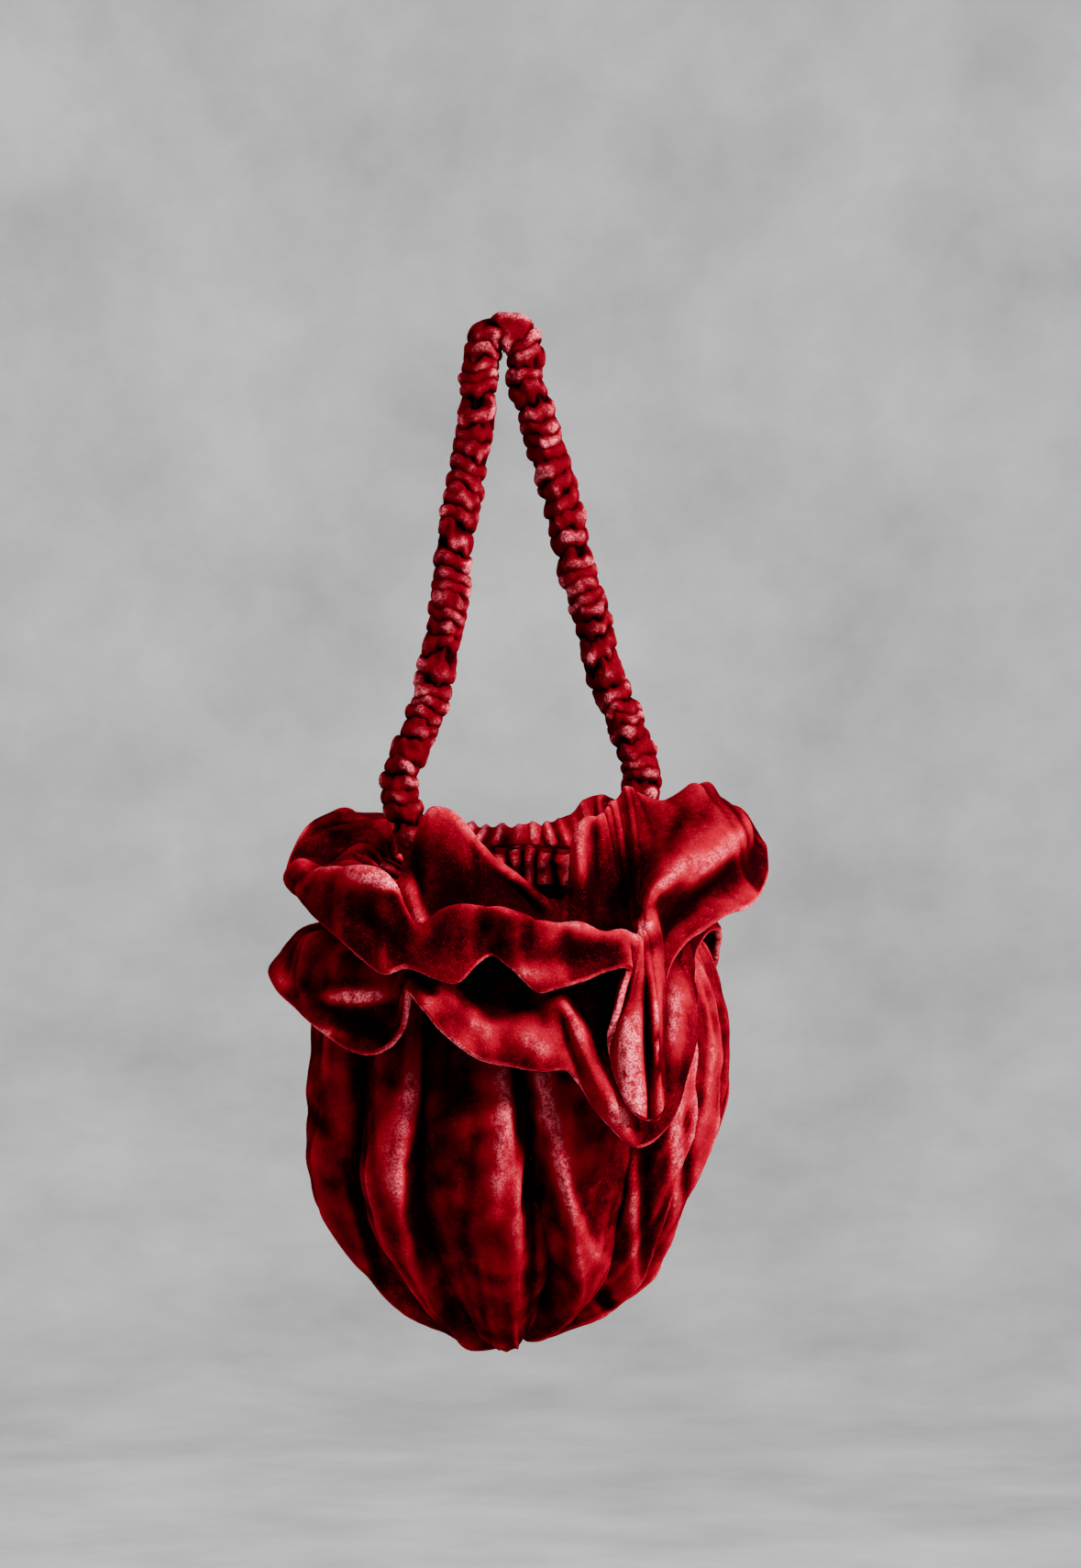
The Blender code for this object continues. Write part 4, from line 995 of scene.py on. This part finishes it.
def ruched_sleeve_tree():
    tree = bpy.data.node_groups.new("ruched sleeve", "GeometryNodeTree")
    for name, kind, value in (
            ("Geometry", "Geometry", None), ("Route", "Object", None),
            ("Velvet", "Material", None), ("Radius", "Float", 8 * MM),
            ("Ruche Depth", "Float", 3 * MM), ("Ruche Pitch", "Float", 8 * MM),
            ("Steps Along", "Int", 900), ("Seed", "Float", 0.0)):
        socket(tree, name, kind, value)
    socket(tree, "Geometry", "Geometry", way="OUTPUT")
    given = tree.nodes.new("NodeGroupInput").outputs
    result = tree.nodes.new("NodeGroupOutput")
    curve = add_node(tree, "GeometryNodeObjectInfo", {"transform_space": "ORIGINAL"},
                     Object=given["Route"]).outputs["Geometry"]
    even = add_node(tree, "GeometryNodeResampleCurve", Curve=curve,
                    Count=given["Steps Along"]).outputs[0]
    along = tree.nodes.new("GeometryNodeCaptureAttribute")
    along.capture_items.new("FLOAT", "Along")
    along.capture_items.new("VECTOR", "Line")
    feed(tree, along, "Geometry", even)
    feed(tree, along, "Along", tree.nodes.new("GeometryNodeSplineParameter").outputs["Length"])
    feed(tree, along, "Line", tree.nodes.new("GeometryNodeInputTangent").outputs[0])
    circle = add_node(tree, "GeometryNodeCurvePrimitiveCircle", Resolution=56,
                      Radius=given["Radius"]).outputs["Curve"]
    around = tree.nodes.new("GeometryNodeCaptureAttribute")
    around.capture_items.new("FLOAT", "Around")
    feed(tree, around, "Geometry", circle)
    feed(tree, around, "Around", tree.nodes.new("GeometryNodeSplineParameter").outputs["Factor"])
    tube = tree.nodes.new("GeometryNodeCurveToMesh")
    feed(tree, tube, "Curve", along.outputs["Geometry"])
    feed(tree, tube, "Profile Curve", around.outputs["Geometry"])
    length = along.outputs["Along"]
    angle = times(tree, around.outputs["Around"], 2 * math.pi)
    sine, cosine = math_node(tree, "SINE", angle), math_node(tree, "COSINE", angle)
    seeded = plus(tree, length, given["Seed"])

    def noise_at(along_scale, around_size, shift):
        """Noise on the wrapped surface of the sleeve, from about -1 to 1."""
        spot = add_node(tree, "ShaderNodeCombineXYZ", X=times(tree, sine, around_size),
                        Y=times(tree, cosine, around_size),
                        Z=math_node(tree, "MULTIPLY_ADD", seeded, along_scale, shift)).outputs[0]
        value = add_node(tree, "ShaderNodeTexNoise", Vector=spot, Scale=1.0, Detail=1.0).outputs[0]
        return math_node(tree, "MULTIPLY_ADD", value, 2.6, -1.3)

    turns = math_node(tree, "DIVIDE", length, given["Ruche Pitch"])
    drift = times(tree, noise_at(26.0, 0.1, 3.0), 1.5)
    lean = times(tree, noise_at(95.0, 0.75, 11.0), 0.6)
    twist = times(tree, noise_at(60.0, 1.5, 23.0), 0.3)
    phase = plus(tree, plus(tree, turns, drift), plus(tree, lean, twist))
    wave = math_node(tree, "ABSOLUTE", math_node(tree, "SINE", times(tree, phase, math.pi)))
    crest = math_node(tree, "POWER", wave, 0.62)
    swell = math_node(tree, "MULTIPLY_ADD", noise_at(110.0, 0.95, 31.0), 0.46, 0.86)
    fine = times(tree, noise_at(300.0, 2.1, 47.0), 0.09)
    swollen = times(tree, crest, swell)
    height = math_node(tree, "SUBTRACT", plus(tree, swollen, fine), 0.62)
    out = times(tree, height, times(tree, given["Ruche Depth"], 2.0))
    side = math_node(tree, "SINE", times(tree, phase, 2 * math.pi))
    over = times(tree, times(tree, side, -0.55), given["Ruche Depth"])
    normal = tree.nodes.new("GeometryNodeInputNormal").outputs[0]
    move = vector_node(tree, "ADD", vector_node(tree, "SCALE", normal, scale=out),
                       vector_node(tree, "SCALE", along.outputs["Line"], scale=over))
    moved = add_node(tree, "GeometryNodeSetPosition", Geometry=tube.outputs[0],
                     Offset=move).outputs[0]
    # Painted light through the fold attribute: a pale highlight on the ruche crests, strongest on the
    # fattest, and shade in the creases.
    fold = math_node(tree, "MULTIPLY_ADD", crest, 1.9, -1.25)
    top = math_node(tree, "POWER", swollen, 6.0)
    fold = math_node(tree, "MULTIPLY_ADD", top, 0.6, fold)
    stored = add_node(tree, "GeometryNodeStoreNamedAttribute", {"data_type": "FLOAT"},
                      Geometry=moved, Name="fold", Value=fold).outputs[0]
    smooth = add_node(tree, "GeometryNodeSetShadeSmooth", Geometry=stored).outputs[0]
    whole = add_node(tree, "GeometryNodeRealizeInstances", Geometry=smooth).outputs[0]
    painted = add_node(tree, "GeometryNodeSetMaterial", Geometry=whole,
                       Material=given["Velvet"]).outputs[0]
    feed(tree, result, "Geometry", painted)
    return tree


# %% Run the tree and keep a plain mesh
def made_by_tree(name, tree, values, wall):
    """A plain mesh piece from a Geometry Nodes tree with its inputs set by identifier. The
    tree's open sheet becomes cloth as thick as the wall."""
    host = linked(name, bpy.data.meshes.new(name))
    modifier = host.modifiers.new(name, "NODES")
    modifier.node_group = tree
    for item in tree.interface.items_tree:
        if item.item_type == "SOCKET" and item.in_out == "INPUT" and item.name in values:
            modifier[item.identifier] = values[item.name]
    shell = host.modifiers.new("cloth", "SOLIDIFY")
    shell.thickness = wall
    shell.offset = -1
    host.update_tag()
    bpy.context.view_layer.update()
    shape = bpy.data.meshes.new_from_object(
        host.evaluated_get(bpy.context.evaluated_depsgraph_get()))
    host.modifiers.clear()
    host.data = shape
    print(f"{name}: {sum(len(p.vertices) - 2 for p in shape.polygons)} triangles")
    return host


sleeve = made_by_tree("sleeve_velvet_tube", ruched_sleeve_tree(), {
    "Route": route, "Velvet": SLEEVE_VELVET, "Radius": SLEEVE_RADIUS - 0.5 * MM,
    "Ruche Depth": 3.0 * MM, "Ruche Pitch": 8.2 * MM, "Steps Along": 850, "Seed": 2.0},
    wall=1.2 * MM)
bpy.data.objects.remove(route)

# %% [markdown]
# ## Woven elastic
# The two elastics are hidden from the front, but the one inside the mouth can be seen from
# above. Their CAD meshes stay, with a ribbed weave.

# %% Elastic braid
def elastic_material():
    material = bpy.data.materials.new("elastic_braid")
    material.use_nodes = True
    tree = material.node_tree
    shader = tree.nodes["Principled BSDF"]
    spot = tree.nodes.new("ShaderNodeTexCoord").outputs["Object"]
    ribs = add_node(tree, "ShaderNodeTexWave", {"bands_direction": "Z"}, Vector=spot,
                    Scale=260.0, Distortion=0.6, Detail=1.0).outputs["Fac"]
    dye = mixed_colour(tree, ribs, (0.05, 0.002, 0.006, 1), (0.16, 0.006, 0.016, 1))
    feed(tree, shader, "Base Color", dye)
    feed(tree, shader, "Roughness", mapped(tree, ribs, 0.0, 1.0, 0.9, 0.7))
    bump = add_node(tree, "ShaderNodeBump", Strength=0.6, Distance=0.0004, Height=ribs)
    feed(tree, shader, "Normal", bump.outputs[0])
    return material


ELASTIC = elastic_material()
for node_name in ("mouth_elastic", "handle_elastic"):
    for material_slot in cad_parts[node_name].material_slots:
        material_slot.material = ELASTIC

# %% [markdown]
# ## Pieces on the body
# Each piece rides on the one body and stands for its CAD solid, which is hidden. No pattern is known, so
# the cuts are estimates from the cloth as modelled; its sizes are printed at the end.

# %% Ride and replace
for piece, node_name, slot_name in (
        (bag, "velvet_body", "body_velvet"), (upper, "upper_ruffle", "upper_ruffle_velvet"),
        (lower, "lower_ruffle", "lower_ruffle_velvet"), (casing, "mouth_casing", "casing_velvet"),
        (sleeve, "handle_sleeve", "sleeve_velvet")):
    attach(piece, "root")
    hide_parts(node_name)


def cloth_area(piece):
    """Half of a closed wall's surface: the area of its cloth, in square metres."""
    return 0.5 * sum(face.area for face in piece.data.polygons)


# Estimated width and length of each cut, and its area where a curved cut was assumed
CUTS = ((bag, 0.62, 0.27, None), (upper, 0.94, 0.10, 0.075), (lower, 0.82, 0.08, 0.058),
        (casing, 0.50, 0.018, None), (sleeve, 0.055, 0.75, None))
for piece, cut_width, cut_length, cut_area in CUTS:
    print(f"{piece.name}: cloth area {cloth_area(piece):.4f} m2")

# %% Sizes of the cloth in its folds
def length_along(grid, axis):
    """Mean length of a grid's lines that run down it (axis 0) or round it (axis 1)."""
    steps = np.linalg.norm(np.diff(grid, axis=axis), axis=2)
    return round(float(steps.sum(axis=axis).mean()), 3)


print("bag: neck to foot", length_along(bag_points, 0), "round its middle",
      length_along(bag_points[50:70], 1))
for cloth_name, cloth in (("upper ruffle", upper_grid), ("lower ruffle", lower_grid)):
    print(f"{cloth_name}: depth", length_along(cloth, 0), "along its hem",
          length_along(cloth[-1:], 1))
